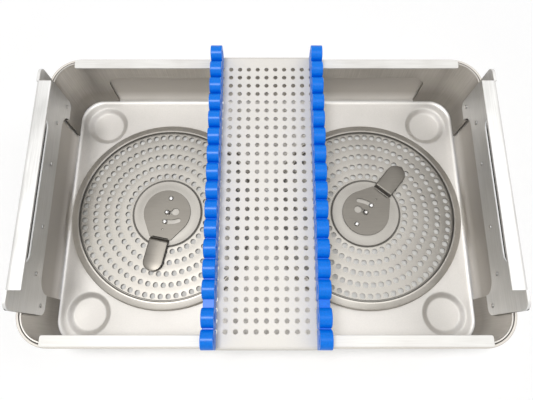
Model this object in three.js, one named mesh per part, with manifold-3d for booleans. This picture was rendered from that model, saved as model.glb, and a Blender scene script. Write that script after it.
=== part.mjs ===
// Sterilization container: a deep-drawn pan with two filter ports in its floor, a lift-out insert frame
// with riveted side plates, a perforated bridge with two silicone strips, and two bail handles.
// Millimetres. +Z is up, +X is the right-hand end and +Y is the rear. The four pressed feet stand on z = 0.
import * as THREE from "three";
import { mergeVertices } from "three/addons/utils/BufferGeometryUtils.js";
import Module from "manifold-3d";

const wasm = await Module();
wasm.setup();

// Driving dimensions
const pan = {
  length: 468,
  width: 303,
  depth: 88.2,
  sheet: 1.5,
  cornerRadius: 33,
  floorBend: 6.5,
  rimOverhang: 1,
  rimHeight: 5,
  rimRound: 0.7,
};
const foot = {
  depth: 5,
  flatRadius: 17,
  outerRadius: 25,
  inset: 37.2,
};
const seatGap = 0.3;
const overrun = 4;

// Heights and half sizes that follow from the pan
const floorTop = foot.depth + pan.sheet;
const rimTop = floorTop + pan.depth;
const wallInset = pan.rimOverhang + pan.sheet;
const innerHalfLength = pan.length / 2 - wallInset;
const innerHalfWidth = pan.width / 2 - wallInset;
const endWallOutside = pan.length / 2 - pan.rimOverhang;

const port = {
  edgeGap: 4.8,
  centreGap: 7.4,
  ventRadius: 2.4,
  ventPitch: 30,
  ventRingInner: 38,
  ventRingOuter: 72,
};
const plate = {
  sheet: 0.8,
  rimRise: 6.2,
  rimSlopeWidth: 7.5,
  rimCrownWidth: 2,
  fieldHeight: 5.2,
  hubRadius: 38.6,
  hubHeight: 6.6,
  hubStepWidth: 1.2,
  edgeHeight: 1,
  holeRadius: 3.1,
  ringPitch: 12.5,
  outerRingInset: 15.5,
  ringCount: 5,
  holePitch: 8.8,
};
plate.radius = Math.min(
  (innerHalfLength - port.edgeGap - port.centreGap / 2) / 2,
  innerHalfWidth - port.edgeGap,
);
plate.centreX = plate.radius + port.centreGap / 2;

const filter = { thickness: 0.4, rimInset: 4.5, postHoleRadius: 7.2 };
const gasket = { width: 4, slack: 0.6 };
const post = {
  baseRadius: 6,
  baseHeight: 1,
  shankRadius: 2.6,
  neckRadius: 1.7,
  headRadius: 3.1,
};
const lever = {
  sheet: 1.2,
  discRadius: 27,
  swing: 32,
  pivotRadius: 17.5,
  pinDistance: 11,
  foldStart: 31,
  foldLength: 4,
  foldRise: 4,
  foldWidth: 25,
  tabWidth: 22,
  tabLength: 35,
  keyholeRadius: 4.2,
  markRadius: 0.9,
  markDistance: 20.4,
};
const leverRivet = {
  shankRadius: 1.7,
  headRadius: 2.9,
  headHeight: 1.7,
  tailRadius: 2.7,
  tailHeight: 0.7,
};
// Where each lever points in the photograph, in degrees from +X
const leverHeading = { left: -101.9, right: 50.8 };

const frame = {
  sheet: 1.2,
  wallGap: 1.5,
  cornerEase: 1.2,
  seamGap: 0.6,
  flangeWidth: 10.5,
  flangeOverlap: 1,
  flangeEndInset: 25.5,
  flangeCorner: 2,
  endWindowHeight: 63,
  endWindowInset: 52.5,
  longWindowHeight: 58.5,
  longWindowInset: 50,
  windowCorner: 16,
};
const side = {
  sheet: 3,
  height: 126,
  lowerEdge: 46,
  cornerRadius: 8,
  flangeReach: 12,
  flangeEndInset: 16.8,
  bendRadius: 4,
  slotLowerEdge: 94,
  slotHeight: 21,
  slotHalfLength: 75.5,
};
const sideRivet = {
  shankRadius: 1.4,
  headRadius: 2.3,
  headHeight: 1.1,
  tailRadius: 2.1,
  tailHeight: 0.6,
  legInset: 9.5,
  legHeight: 57,
  beamHeight: 75.5,
  outerInset: 38.5,
  innerDistance: 34,
};
const bridge = {
  sheet: 1.2,
  halfWidth: 52.6,
  lipHeight: 8,
  hookDrop: 6,
  hookCornerInset: 3,
  holeRadius: 2.35,
  columnCount: 11,
  columnPitch: 9.5,
  rowPitch: 9.77,
  endMargin: 14,
};
const strip = {
  width: 11.6,
  lobeRadius: 8.9,
  lobePitch: 18.7,
  wideGap: 6.2,
  endLobeCount: 2,
  top: 26.5,
  holeHalfLength: 4.2,
  holeHalfHeight: 3,
  grooveDepth: 8.5,
  slack: 0.3,
};
const bracket = {
  sheet: 1.5,
  halfLength: 66,
  height: 20,
  earThickness: 6,
  earInset: 16,
  earHeight: 14,
  rimGap: 1.2,
  axisReach: 8,
};
const bail = { rodRadius: 3, armReach: 10, drop: 45, bendRadius: 8, stubOverlap: 1 };
const bracketRivet = { shankRadius: 2, headRadius: 3.4, headHeight: 1.8, earInset: 12, endInset: 7 };

// The brackets hang just below the rim's bead; their rivets and the bails' pivots share one height.
const bracketBack = endWallOutside + seatGap;
const bracketFront = bracketBack + bracket.sheet;
// The ears stand in from the brackets' ends, and the bails' arms run a little outside the ears.
const earDistance = bracket.halfLength - bracket.earInset;
const bailHalfSpan = earDistance + bail.armReach;
const axis = {
  x: bracketFront + bracket.axisReach,
  z: rimTop - pan.rimHeight - bracket.rimGap - bracket.height / 2,
};
const bracketRivetPlaces = [-1, 1].flatMap((sign) => [
  sign * (earDistance - bracketRivet.earInset),
  sign * (bracket.halfLength - bracketRivet.endInset),
]);

// Facet counts, and how many of the small holes are drawn: every second one of the bridge's grid each way,
// and every fourth one round the retention plates
const arcSteps = 4;
const lathed = 32;
const smallLathed = 8;
const roundHole = 8;
const keyholeSides = 12;
const bailSteps = 32;
const gridStep = 2;
const ringStep = 4;
const rivetSides = 6;

// Materials
const steel = (color, roughness) => new THREE.MeshStandardMaterial({ color, roughness, metalness: 1 });
const materials = {
  pan: steel("#d8d3cc", 0.4),
  frame: steel("#b9b5ae", 0.35),
  side: steel("#c2c0bc", 0.4),
  plate: steel("#c9c4bc", 0.3),
  lever: steel("#bdb8b0", 0.35),
  bridge: steel("#e4e4e3", 0.45),
  rivet: steel("#d5d3cf", 0.25),
  handle: steel("#c4c4c4", 0.25),
  silicone: new THREE.MeshStandardMaterial({ color: "#1f7de6", roughness: 0.55, metalness: 0 }),
  gasket: new THREE.MeshStandardMaterial({ color: "#d8d8d4", roughness: 0.7, metalness: 0 }),
  paper: new THREE.MeshStandardMaterial({ color: "#f6f5f1", roughness: 0.9, metalness: 0 }),
};

const group = new THREE.Group();
const radians = THREE.MathUtils.degToRad;

// A closed three.js geometry as a solid, with its faces turned outward.
function solid(geometry) {
  const bare = geometry.clone();
  bare.deleteAttribute("normal");
  bare.deleteAttribute("uv");
  const merged = mergeVertices(bare, 1e-4);
  const index = merged.index.array;
  const triangles = [];
  for (let i = 0; i < index.length; i += 3) {
    const [a, b, c] = [index[i], index[i + 1], index[i + 2]];
    if (a !== b && b !== c && a !== c) triangles.push(a, b, c);
  }
  const make = (triVerts) =>
    new wasm.Manifold(
      new wasm.Mesh({
        numProp: 3,
        vertProperties: new Float32Array(merged.getAttribute("position").array),
        triVerts: new Uint32Array(triVerts),
      }),
    );
  const made = make(triangles);
  return made.volume() < 0 ? make(triangles.reverse()) : made;
}

// Adds a solid to a parent as a named mesh.
function addMesh(parent, name, body, material) {
  const mesh = body.getMesh();
  const geometry = new THREE.BufferGeometry();
  geometry.setAttribute("position", new THREE.BufferAttribute(new Float32Array(mesh.vertProperties), 3));
  geometry.setIndex(new THREE.BufferAttribute(new Uint32Array(mesh.triVerts), 1));
  const faceted = geometry.toNonIndexed();
  faceted.computeVertexNormals();
  const made = new THREE.Mesh(faceted, material);
  made.name = name;
  parent.add(made);
  return made;
}

const joined = (first, ...others) => others.reduce((sum, one) => sum.add(one), first);
const cut = (first, ...others) => others.reduce((rest, one) => rest.subtract(one), first);

// A box between two corners.
function box([x0, y0, z0], [x1, y1, z1]) {
  const geometry = new THREE.BoxGeometry(x1 - x0, y1 - y0, z1 - z0);
  return solid(geometry.translate((x0 + x1) / 2, (y0 + y1) / 2, (z0 + z1) / 2));
}

// A plan outline (x, y) standing from z0 to z1.
function standing(shape, z0, z1, curveSegments = arcSteps) {
  const options = { depth: z1 - z0, bevelEnabled: false, curveSegments };
  return solid(new THREE.ExtrudeGeometry(shape, options).translate(0, 0, z0));
}

// An end outline (y, z) running from x0 to x1.
function alongX(shape, x0, x1, curveSegments = arcSteps) {
  const options = { depth: x1 - x0, bevelEnabled: false, curveSegments };
  const geometry = new THREE.ExtrudeGeometry(shape, options);
  const axes = new THREE.Matrix4().makeBasis(
    new THREE.Vector3(0, 1, 0),
    new THREE.Vector3(0, 0, 1),
    new THREE.Vector3(1, 0, 0),
  );
  return solid(geometry.applyMatrix4(axes).translate(x0, 0, 0));
}

// A side outline (x, z) running from y0 to y1.
function alongY(shape, y0, y1, curveSegments = arcSteps) {
  const options = { depth: y1 - y0, bevelEnabled: false, curveSegments };
  const geometry = new THREE.ExtrudeGeometry(shape, options);
  return solid(geometry.rotateX(Math.PI / 2).translate(0, y1, 0));
}

// A profile of [radius, height] pairs turned about the z axis.
function lathe(profile, segments = lathed) {
  const points = profile.map(([radius, height]) => new THREE.Vector2(radius, height));
  if (profile[0][0] > 0) points.push(points[0].clone());
  return solid(new THREE.LatheGeometry(points, segments).rotateX(Math.PI / 2));
}

// A round bar along z.
function bar(radius, z0, z1, segments = roundHole) {
  const geometry = new THREE.CylinderGeometry(radius, radius, z1 - z0, segments);
  return solid(geometry.rotateX(Math.PI / 2).translate(0, 0, (z0 + z1) / 2));
}

// The tool for a clear hole: its flats, not its corners, lie at the radius.
function drill(radius, z0, z1, segments = roundHole) {
  return bar(radius / Math.cos(Math.PI / segments), z0, z1, segments);
}

const onto = (matrix, body) => body.transform(matrix.elements);
const moved = (body, x, y, z) => onto(new THREE.Matrix4().makeTranslation(x, y, z), body);

// Cuts a tool out of a body at each of the (x, y) places.
function punched(body, tool, places) {
  return cut(body, wasm.Manifold.union(places.map(([x, y]) => moved(tool, x, y, 0))));
}

// Turns a body that stands along z so that it lies along x, its top towards +X or -X.
function layOnX(body, direction) {
  return onto(new THREE.Matrix4().makeRotationY((direction * Math.PI) / 2), body);
}

// Points of a quarter of a circle, from one angle to another, in degrees.
function arc(centre, radius, from, to, steps = arcSteps) {
  const points = [];
  for (let i = 0; i <= steps; i += 1) {
    const angle = radians(from + ((to - from) * i) / steps);
    points.push([centre[0] + radius * Math.cos(angle), centre[1] + radius * Math.sin(angle)]);
  }
  return points;
}

// The corners of a regular polygon, the first one on the +X side.
function polygon(radius, sides) {
  return arc([0, 0], radius, 0, 360, sides).slice(0, -1);
}

const shapeOf = (points) => new THREE.Shape(points.map(([x, y]) => new THREE.Vector2(x, y)));

// A rectangle with round corners, counter-clockwise.
function roundedRectangle(halfX, halfY, radius, steps = arcSteps) {
  const [x, y] = [halfX - radius, halfY - radius];
  return [
    ...arc([x, -y], radius, -90, 0, steps),
    ...arc([x, y], radius, 0, 90, steps),
    ...arc([-x, y], radius, 90, 180, steps),
    ...arc([-x, -y], radius, 180, 270, steps),
  ];
}

// A doorway outline: straight sides from `base` up to round top corners at `top`.
function archway(halfWidth, base, top, radius) {
  return shapeOf([
    [-halfWidth, base],
    [halfWidth, base],
    ...arc([halfWidth - radius, top - radius], radius, 0, 90),
    ...arc([-halfWidth + radius, top - radius], radius, 90, 180),
  ]);
}

// A closed skin through a stack of outlines that all have the same number of points.
function loft(rings) {
  const count = rings[0].length;
  const positions = [];
  const quad = (a, b, c, d) => positions.push(...a, ...b, ...c, ...a, ...c, ...d);
  for (let level = 0; level + 1 < rings.length; level += 1) {
    for (let i = 0; i < count; i += 1) {
      const next = (i + 1) % count;
      quad(rings[level][i], rings[level][next], rings[level + 1][next], rings[level + 1][i]);
    }
  }
  const cap = (ring, reverse) => {
    for (let i = 1; i + 1 < count; i += 1) {
      const corners = reverse ? [ring[0], ring[i + 1], ring[i]] : [ring[0], ring[i], ring[i + 1]];
      positions.push(...corners.flat());
    }
  };
  cap(rings[0], true);
  cap(rings[rings.length - 1], false);
  const geometry = new THREE.BufferGeometry();
  geometry.setAttribute("position", new THREE.BufferAttribute(new Float32Array(positions), 3));
  return solid(geometry);
}

// The hole for each bracket rivet, right through both end walls.
function drillBracketRivets(body) {
  const hole = layOnX(drill(bracketRivet.shankRadius + seatGap / 2, -pan.length, pan.length, rivetSides), 1);
  return bracketRivetPlaces.reduce((rest, y) => cut(rest, moved(hole, 0, y, axis.z)), body);
}

// Pan
const panRing = (inset, z) =>
  roundedRectangle(pan.length / 2 - inset, pan.width / 2 - inset, pan.cornerRadius - inset).map(
    ([x, y]) => [x, y, z],
  );

function panShell() {
  const floorBottom = foot.depth;
  const outerBend = pan.floorBend + pan.sheet;
  const bendSteps = 4;
  const rings = [];
  for (let i = 0; i <= bendSteps; i += 1) {
    const turn = (Math.PI / 2) * (i / bendSteps);
    const inset = pan.rimOverhang + outerBend * (1 - Math.sin(turn));
    rings.push(panRing(inset, floorBottom + outerBend * (1 - Math.cos(turn))));
  }
  rings.push(panRing(pan.rimOverhang, rimTop - pan.rimHeight));
  rings.push(panRing(0, rimTop - pan.rimHeight + pan.rimOverhang));
  rings.push(panRing(0, rimTop - pan.rimRound));
  rings.push(panRing(pan.rimRound, rimTop));
  rings.push(panRing(wallInset, rimTop));
  for (let i = bendSteps; i >= 0; i -= 1) {
    const turn = (Math.PI / 2) * (i / bendSteps);
    const inset = wallInset + pan.floorBend * (1 - Math.sin(turn));
    rings.push(panRing(inset, floorTop + pan.floorBend * (1 - Math.cos(turn))));
  }
  return loft(rings);
}

// The S-shaped wall of a pressed foot, from its flat to the pan's floor.
function footCurve(lift) {
  const steps = 3;
  const points = [];
  for (let i = 0; i <= steps; i += 1) {
    const share = i / steps;
    const rise = share * share * (3 - 2 * share);
    const radius = foot.flatRadius + (foot.outerRadius - foot.flatRadius) * share;
    points.push([radius, foot.depth * rise + lift]);
  }
  return points;
}

const footSegments = 16;
const footPlaces = [-1, 1].flatMap((sx) =>
  [-1, 1].map((sy) => [sx * (pan.length / 2 - foot.inset), sy * (pan.width / 2 - foot.inset)]),
);
const footBody = lathe([[0, 0], ...footCurve(0), [0, foot.depth]], footSegments);
const footHollow = lathe(
  [
    [0, pan.sheet],
    ...footCurve(pan.sheet),
    [foot.outerRadius, floorTop + overrun],
    [0, floorTop + overrun],
  ],
  footSegments,
);

const ports = [
  { name: "left", x: -plate.centreX, heading: leverHeading.left },
  { name: "right", x: plate.centreX, heading: leverHeading.right },
];

// Places evenly round a circle, at about the given pitch, and only every step-th of them.
function ringPlaces(radius, pitch, step = 1) {
  const count = Math.round((2 * Math.PI * radius) / pitch);
  return Array.from({ length: Math.ceil(count / step) }, (_, i) => {
    const angle = (2 * Math.PI * i * step) / count;
    return [radius * Math.cos(angle), radius * Math.sin(angle)];
  });
}

function panWithFeetAndVents() {
  let body = panShell();
  for (const [x, y] of footPlaces) body = cut(body.add(moved(footBody, x, y, 0)), moved(footHollow, x, y, 0));
  const vent = bar(port.ventRadius, foot.depth - overrun, floorTop + overrun, rivetSides);
  const rings = [port.ventRingInner, port.ventRingOuter].flatMap((radius) => ringPlaces(radius, port.ventPitch));
  return punched(
    drillBracketRivets(body),
    vent,
    ports.flatMap(({ x }) => rings.map(([dx, dy]) => [x + dx, dy])),
  );
}
addMesh(group, "pan", panWithFeetAndVents(), materials.pan);

// Filter ports: centre post, filter paper, gasket, retention plate and its lever lock.
// Heights in this section are above the pan's inner floor.
const leverBottom = plate.hubHeight + seatGap;
const leverTop = leverBottom + lever.sheet;
const rimCrown = plate.edgeHeight + plate.rimRise;
const rimOuterCrown = plate.radius - plate.rimSlopeWidth;
const rimInnerCrown = rimOuterCrown - plate.rimCrownWidth;
const headSteps = 4;

function centrePost() {
  const neckBottom = plate.hubHeight - plate.sheet;
  const headBottom = leverTop + seatGap;
  return lathe(
    [
      [0, 0],
      [post.baseRadius, 0],
      [post.baseRadius, post.baseHeight],
      [post.shankRadius, post.baseHeight],
      [post.shankRadius, neckBottom],
      [post.neckRadius, neckBottom],
      [post.neckRadius, headBottom],
      ...arc([0, headBottom], post.headRadius, 0, 90, headSteps).slice(0, -1),
      [0, headBottom + post.headRadius],
    ],
    smallLathed,
  );
}

function filterPaper() {
  const outer = plate.radius - filter.rimInset;
  return lathe([
    [filter.postHoleRadius, seatGap],
    [outer, seatGap],
    [outer, seatGap + filter.thickness],
    [filter.postHoleRadius, seatGap + filter.thickness],
  ]);
}

// The underside of the plate's rim slopes down from under the crown to the edge.
const slopeTop = [rimOuterCrown - plate.sheet / 2, rimCrown - plate.sheet];
const slopeFoot = [plate.radius - plate.sheet, plate.edgeHeight];

// The gasket fills the channel under the rim and rests on the edge of the paper.
function filterGasket() {
  const inner = rimInnerCrown + plate.sheet + gasket.slack;
  const outer = inner + gasket.width;
  const bottom = 2 * seatGap + filter.thickness;
  const fall = (slopeTop[1] - slopeFoot[1]) / (slopeFoot[0] - slopeTop[0]);
  return lathe([
    [inner, bottom],
    [outer, bottom],
    [outer, slopeTop[1] - gasket.slack - fall * (outer - slopeTop[0])],
    [inner, slopeTop[1] - gasket.slack],
  ]);
}

function retentionPlate() {
  const hubHoleRadius = post.headRadius + 2 * seatGap;
  const hubFoot = plate.hubRadius + plate.hubStepWidth;
  const top = [
    [plate.radius, plate.edgeHeight],
    [plate.radius, plate.edgeHeight + plate.sheet],
    [rimOuterCrown, rimCrown],
    [rimInnerCrown, rimCrown],
    [rimInnerCrown - plate.hubStepWidth, plate.fieldHeight],
    [hubFoot, plate.fieldHeight],
    [plate.hubRadius, plate.hubHeight],
    [hubHoleRadius, plate.hubHeight],
  ];
  const under = [
    [hubHoleRadius, plate.hubHeight - plate.sheet],
    [plate.hubRadius - plate.sheet / 2, plate.hubHeight - plate.sheet],
    [hubFoot - plate.sheet / 2, plate.fieldHeight - plate.sheet],
    [rimInnerCrown - plate.hubStepWidth + plate.sheet / 2, plate.fieldHeight - plate.sheet],
    [rimInnerCrown + plate.sheet / 2, rimCrown - plate.sheet],
    slopeTop,
    slopeFoot,
  ];
  const hole = drill(plate.holeRadius, -overrun, plate.fieldHeight + overrun, 4);
  const places = Array.from({ length: plate.ringCount }, (_, ring) =>
    ringPlaces(plate.radius - plate.outerRingInset - ring * plate.ringPitch, plate.holePitch, ringStep),
  ).flat();
  const body = punched(lathe([...top, ...under]), hole, places);
  const rivetHole = drill(leverRivet.shankRadius + seatGap, 0, plate.hubHeight + overrun);
  return cut(body, moved(rivetHole, -lever.pivotRadius, 0, 0), moved(rivetHole, lever.pinDistance, 0, 0));
}

// A curved slot about the lever's pivot, which lies on the x axis at -pivotRadius.
function leverSlot(distance, halfWidth) {
  const centre = [-lever.pivotRadius, 0];
  const radius = distance + lever.pivotRadius;
  const end = arc(centre, radius, lever.swing, lever.swing, 1)[0];
  return shapeOf([
    ...arc(centre, radius + halfWidth, 0, lever.swing),
    ...arc(end, halfWidth, lever.swing, lever.swing + 180, 4).slice(1, -1),
    ...arc(centre, radius - halfWidth, lever.swing, 0),
    ...arc([distance, 0], halfWidth, 180, 360, 4).slice(1, -1),
  ]);
}

// The lever in its own frame: the post at the origin and the tab along +X.
function lockLever() {
  const half = lever.foldWidth / 2;
  const spread = THREE.MathUtils.radToDeg(Math.acos(half / lever.discRadius)) / 2;
  const outline = [
    [lever.foldStart, -half],
    [lever.foldStart, half],
    ...arc([0, 0], lever.discRadius, spread, -spread + 360, 4 * arcSteps),
  ];
  const disc = standing(shapeOf(outline), leverBottom, leverTop);
  const riseEnd = lever.foldStart + lever.foldLength;
  const step = alongY(
    shapeOf([
      [lever.foldStart - lever.sheet, leverBottom],
      [lever.foldStart, leverBottom],
      [riseEnd, leverBottom + lever.foldRise],
      [riseEnd + lever.sheet, leverBottom + lever.foldRise],
      [riseEnd + lever.sheet, leverTop + lever.foldRise],
      [riseEnd - lever.sheet / 2, leverTop + lever.foldRise],
      [lever.foldStart - lever.sheet / 2, leverTop],
      [lever.foldStart - lever.sheet, leverTop],
    ]),
    -lever.tabWidth / 2,
    lever.tabWidth / 2,
  );
  const tabRound = lever.tabWidth / 2;
  const tabEnd = riseEnd + lever.tabLength;
  const tab = standing(
    shapeOf([
      [riseEnd, tabRound],
      [riseEnd, -tabRound],
      ...arc([tabEnd - tabRound, 0], tabRound, -90, 90, 2 * arcSteps),
    ]),
    leverBottom + lever.foldRise,
    leverTop + lever.foldRise,
  );
  const through = [leverBottom - overrun, leverTop + lever.foldRise + overrun];
  const pivotHole = drill(leverRivet.shankRadius + seatGap, ...through);
  const wideEnd = arc([-lever.pivotRadius, 0], lever.pivotRadius, lever.swing, lever.swing, 1)[0];
  return cut(
    joined(disc, step, tab),
    standing(leverSlot(0, post.neckRadius + seatGap), ...through),
    moved(bar(lever.keyholeRadius, ...through, keyholeSides), wideEnd[0], wideEnd[1], 0),
    standing(leverSlot(lever.pinDistance, leverRivet.shankRadius + seatGap), ...through),
    moved(pivotHole, -lever.pivotRadius, 0, 0),
    moved(bar(lever.markRadius, ...through), lever.markDistance, 0, 0),
  );
}

// A rivet that stands in the hub and holds the lever under its head.
function leverRivetBody() {
  const tailTop = plate.hubHeight - plate.sheet - seatGap;
  const headBottom = leverTop + seatGap;
  return lathe(
    [
      [0, tailTop - leverRivet.tailHeight],
      [leverRivet.tailRadius, tailTop - leverRivet.tailHeight],
      [leverRivet.tailRadius, tailTop],
      [leverRivet.shankRadius, tailTop],
      [leverRivet.shankRadius, headBottom],
      [leverRivet.headRadius, headBottom],
      [leverRivet.headRadius * Math.SQRT1_2, headBottom + leverRivet.headHeight * Math.SQRT1_2],
      [0, headBottom + leverRivet.headHeight],
    ],
    smallLathed,
  );
}

const plateBody = retentionPlate();
const leverBody = lockLever();
for (const { name, x, heading } of ports) {
  const portGroup = new THREE.Group();
  portGroup.position.set(x, 0, floorTop);
  group.add(portGroup);
  addMesh(portGroup, `centre_post_${name}`, centrePost(), materials.rivet);
  addMesh(portGroup, `filter_paper_${name}`, filterPaper(), materials.paper);
  addMesh(portGroup, `filter_gasket_${name}`, filterGasket(), materials.gasket);
  const turned = new THREE.Group();
  turned.rotation.z = radians(heading);
  portGroup.add(turned);
  addMesh(turned, `retention_plate_${name}`, plateBody, materials.plate);
  addMesh(turned, `lock_lever_${name}`, leverBody, materials.lever);
  addMesh(turned, `lever_pivot_${name}`, moved(leverRivetBody(), -lever.pivotRadius, 0, 0), materials.rivet);
  addMesh(turned, `lever_guide_pin_${name}`, moved(leverRivetBody(), lever.pinDistance, 0, 0), materials.rivet);
}

// Insert frame: two bent halves that meet behind the side plates.
const frameOut = { x: innerHalfLength - frame.wallGap, y: innerHalfWidth - frame.wallGap };
const frameIn = { x: frameOut.x - frame.sheet, y: frameOut.y - frame.sheet };
const frameCorner = pan.cornerRadius - wallInset - frame.wallGap - frame.cornerEase;
const flangeBottom = rimTop + seatGap;
const flangeTop = flangeBottom + frame.sheet;
// The legs stand on the pan's floor bend, which rises towards the wall and is nearest to them in the corners.
const cornerGap = frame.wallGap - frame.cornerEase * (Math.SQRT2 - 1);
const bendReach = Math.max(0, pan.floorBend - cornerGap);
const legBottom = floorTop + pan.floorBend - Math.sqrt(pan.floorBend ** 2 - bendReach ** 2) + seatGap;
const plateOut = frameIn.x - seatGap;
const plateIn = plateOut - side.sheet;
const sideHalf = frameOut.y - frameCorner;
const endWindow = archway(
  pan.width / 2 - frame.endWindowInset,
  floorTop - overrun,
  floorTop + frame.endWindowHeight,
  frame.windowCorner,
);
const rivetPlaces = [-1, 1].flatMap((sign) => [
  [sign * (sideHalf - sideRivet.legInset), floorTop + sideRivet.legHeight],
  [sign * (sideHalf - sideRivet.outerInset), floorTop + sideRivet.beamHeight],
  [sign * sideRivet.innerDistance, floorTop + sideRivet.beamHeight],
]);
const rivetHoleTool = drill(sideRivet.shankRadius + seatGap / 2, -pan.length, pan.length, rivetSides);

// The hole for each side rivet, right through both ends of the container.
function drillSideRivets(body) {
  return rivetPlaces.reduce((rest, [y, z]) => cut(rest, moved(layOnX(rivetHoleTool, 1), 0, y, z)), body);
}

function frameHalf(direction) {
  const seam = (direction * frame.seamGap) / 2;
  const bent = (halfX, halfY, radius) => {
    const centre = [halfX - radius, halfY - radius];
    const right = arc(centre, radius, 0, 90);
    const left = arc([-centre[0], centre[1]], radius, 90, 180);
    return [[halfX, Math.abs(seam)], ...right, ...left, [-halfX, Math.abs(seam)]];
  };
  const outer = bent(frameOut.x, frameOut.y, frameCorner);
  const inner = bent(frameIn.x, frameIn.y, frameCorner - frame.sheet).reverse();
  const outline = [...outer, ...inner].map(([x, y]) => [x, direction * y]);
  const strap = standing(shapeOf(outline), legBottom, rimTop);
  const flangeHalf = pan.length / 2 - frame.flangeEndInset;
  const outerEdge = innerHalfWidth + frame.flangeOverlap;
  const middle = outerEdge - frame.flangeWidth / 2;
  const flangeShape = roundedRectangle(flangeHalf, frame.flangeWidth / 2, frame.flangeCorner, 2);
  const flange = moved(standing(shapeOf(flangeShape), flangeBottom, flangeTop), 0, direction * middle, 0);
  const [riserA, riserB] = [direction * frameIn.y, direction * frameOut.y].sort((a, b) => a - b);
  const riserHalf = frameOut.x - frameCorner;
  const riser = box([-riserHalf, riserA, legBottom + overrun], [riserHalf, riserB, flangeTop]);
  const longWindow = alongY(
    archway(
      pan.length / 2 - frame.longWindowInset,
      floorTop - overrun,
      floorTop + frame.longWindowHeight,
      frame.windowCorner,
    ),
    -pan.width,
    pan.width,
  );
  const ends = alongX(endWindow, -pan.length, pan.length);
  return drillSideRivets(cut(joined(strap, riser, flange), longWindow, ends));
}
addMesh(group, "frame_rear", frameHalf(1), materials.frame);
addMesh(group, "frame_front", frameHalf(-1), materials.frame);

// Side plates, made for the right-hand end and mirrored for the left.
function sidePlate() {
  const top = floorTop + side.height;
  const bottom = floorTop + side.lowerEdge;
  const r = side.cornerRadius;
  const outline = shapeOf([
    ...arc([sideHalf - r, bottom + r], r, -90, 0, 3),
    ...arc([sideHalf - r, top - r], r, 0, 90, 3),
    ...arc([-sideHalf + r, top - r], r, 90, 180, 3),
    ...arc([-sideHalf + r, bottom + r], r, 180, 270, 3),
  ]);
  const slotRound = side.slotHeight / 2;
  const slotMiddle = floorTop + side.slotLowerEdge + slotRound;
  const slot = shapeOf([
    ...arc([side.slotHalfLength - slotRound, slotMiddle], slotRound, -90, 90),
    ...arc([-side.slotHalfLength + slotRound, slotMiddle], slotRound, 90, 270),
  ]);
  const flangeHalf = sideHalf - side.flangeEndInset;
  const bend = side.bendRadius;
  const edge = plateOut - side.sheet - side.flangeReach;
  const turned = alongY(
    shapeOf([
      [plateIn, top - bend],
      [plateOut, top - bend],
      ...arc([plateOut - bend, top - bend], bend, 0, 90, 3).slice(1),
      [edge, top],
      [edge, top - side.sheet],
      [plateIn, top - side.sheet],
    ]),
    -flangeHalf,
    flangeHalf,
  );
  const relief = box(
    [plateIn - overrun, -flangeHalf, top - bend],
    [plateOut + overrun, flangeHalf, top + overrun],
  );
  const blank = cut(
    alongX(outline, plateIn, plateOut),
    alongX(endWindow, plateIn - overrun, plateOut + overrun),
    alongX(slot, plateIn - overrun, plateOut + overrun),
    relief,
  );
  return drillSideRivets(joined(blank, turned));
}

const mirrorX = new THREE.Matrix4().makeScale(-1, 1, 1);
const ends = [
  { name: "left", sign: -1 },
  { name: "right", sign: 1 },
];
const onEnd = (body, sign) => (sign > 0 ? body : onto(mirrorX, body));

// A side rivet along x: its domed head inside the plate and its flat tail behind the frame.
function sideRivetBody() {
  const shankTop = frameOut.x + seatGap + sideRivet.tailHeight - plateIn;
  const headBottom = -seatGap;
  const upright = lathe(
    [
      [0, headBottom - sideRivet.headHeight],
      [sideRivet.headRadius * Math.SQRT1_2, headBottom - sideRivet.headHeight * Math.SQRT1_2],
      [sideRivet.headRadius, headBottom],
      [sideRivet.shankRadius, headBottom],
      [sideRivet.shankRadius, shankTop - sideRivet.tailHeight],
      [sideRivet.tailRadius, shankTop - sideRivet.tailHeight],
      [sideRivet.tailRadius, shankTop],
      [0, shankTop],
    ],
    rivetSides,
  );
  return moved(layOnX(upright, 1), plateIn, 0, 0);
}

const sidePlateBody = sidePlate();
const sideRivetPlain = sideRivetBody();
for (const { name, sign } of ends) {
  addMesh(group, `side_plate_${name}`, onEnd(sidePlateBody, sign), materials.side);
  rivetPlaces.forEach(([y, z], i) => {
    addMesh(group, `side_rivet_${name}_${i + 1}`, onEnd(moved(sideRivetPlain, 0, y, z), sign), materials.rivet);
  });
}

// Bridge: perforated plate with turned-up long edges and a hook over the rim at each end.
const bridgeBottom = flangeTop + seatGap;
const bridgeTop = bridgeBottom + bridge.sheet;
const hookIn = pan.width / 2 + seatGap;
const hookOut = hookIn + bridge.sheet;

function bridgePlate() {
  const outline = shapeOf([
    [-bridge.halfWidth, -hookOut],
    [bridge.halfWidth, -hookOut],
    [bridge.halfWidth, hookOut],
    [-bridge.halfWidth, hookOut],
  ]);
  const places = [];
  const halfRows = Math.floor((hookIn - bridge.endMargin) / bridge.rowPitch);
  const halfColumns = (bridge.columnCount - 1) / 2;
  for (let column = -halfColumns; column <= halfColumns; column += gridStep) {
    for (let row = -halfRows; row <= halfRows; row += gridStep) {
      places.push([column * bridge.columnPitch, row * bridge.rowPitch]);
    }
  }
  const hole = drill(bridge.holeRadius, bridgeBottom - overrun, bridgeTop + overrun, 4);
  const sheet = punched(standing(outline, bridgeBottom, bridgeTop), hole, places);
  const lip = (sign) => {
    const [x0, x1] = [sign * bridge.halfWidth, sign * (bridge.halfWidth - bridge.sheet)].sort((a, b) => a - b);
    const end = hookIn - bridge.hookCornerInset;
    return box([x0, -end, bridgeBottom], [x1, end, bridgeTop + bridge.lipHeight]);
  };
  const hook = (sign) => {
    const [y0, y1] = [sign * hookIn, sign * hookOut].sort((a, b) => a - b);
    const half = bridge.halfWidth - bridge.hookCornerInset;
    return box([-half, y0, bridgeBottom - bridge.hookDrop], [half, y1, bridgeTop]);
  };
  return joined(sheet, lip(-1), lip(1), hook(-1), hook(1));
}
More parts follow.
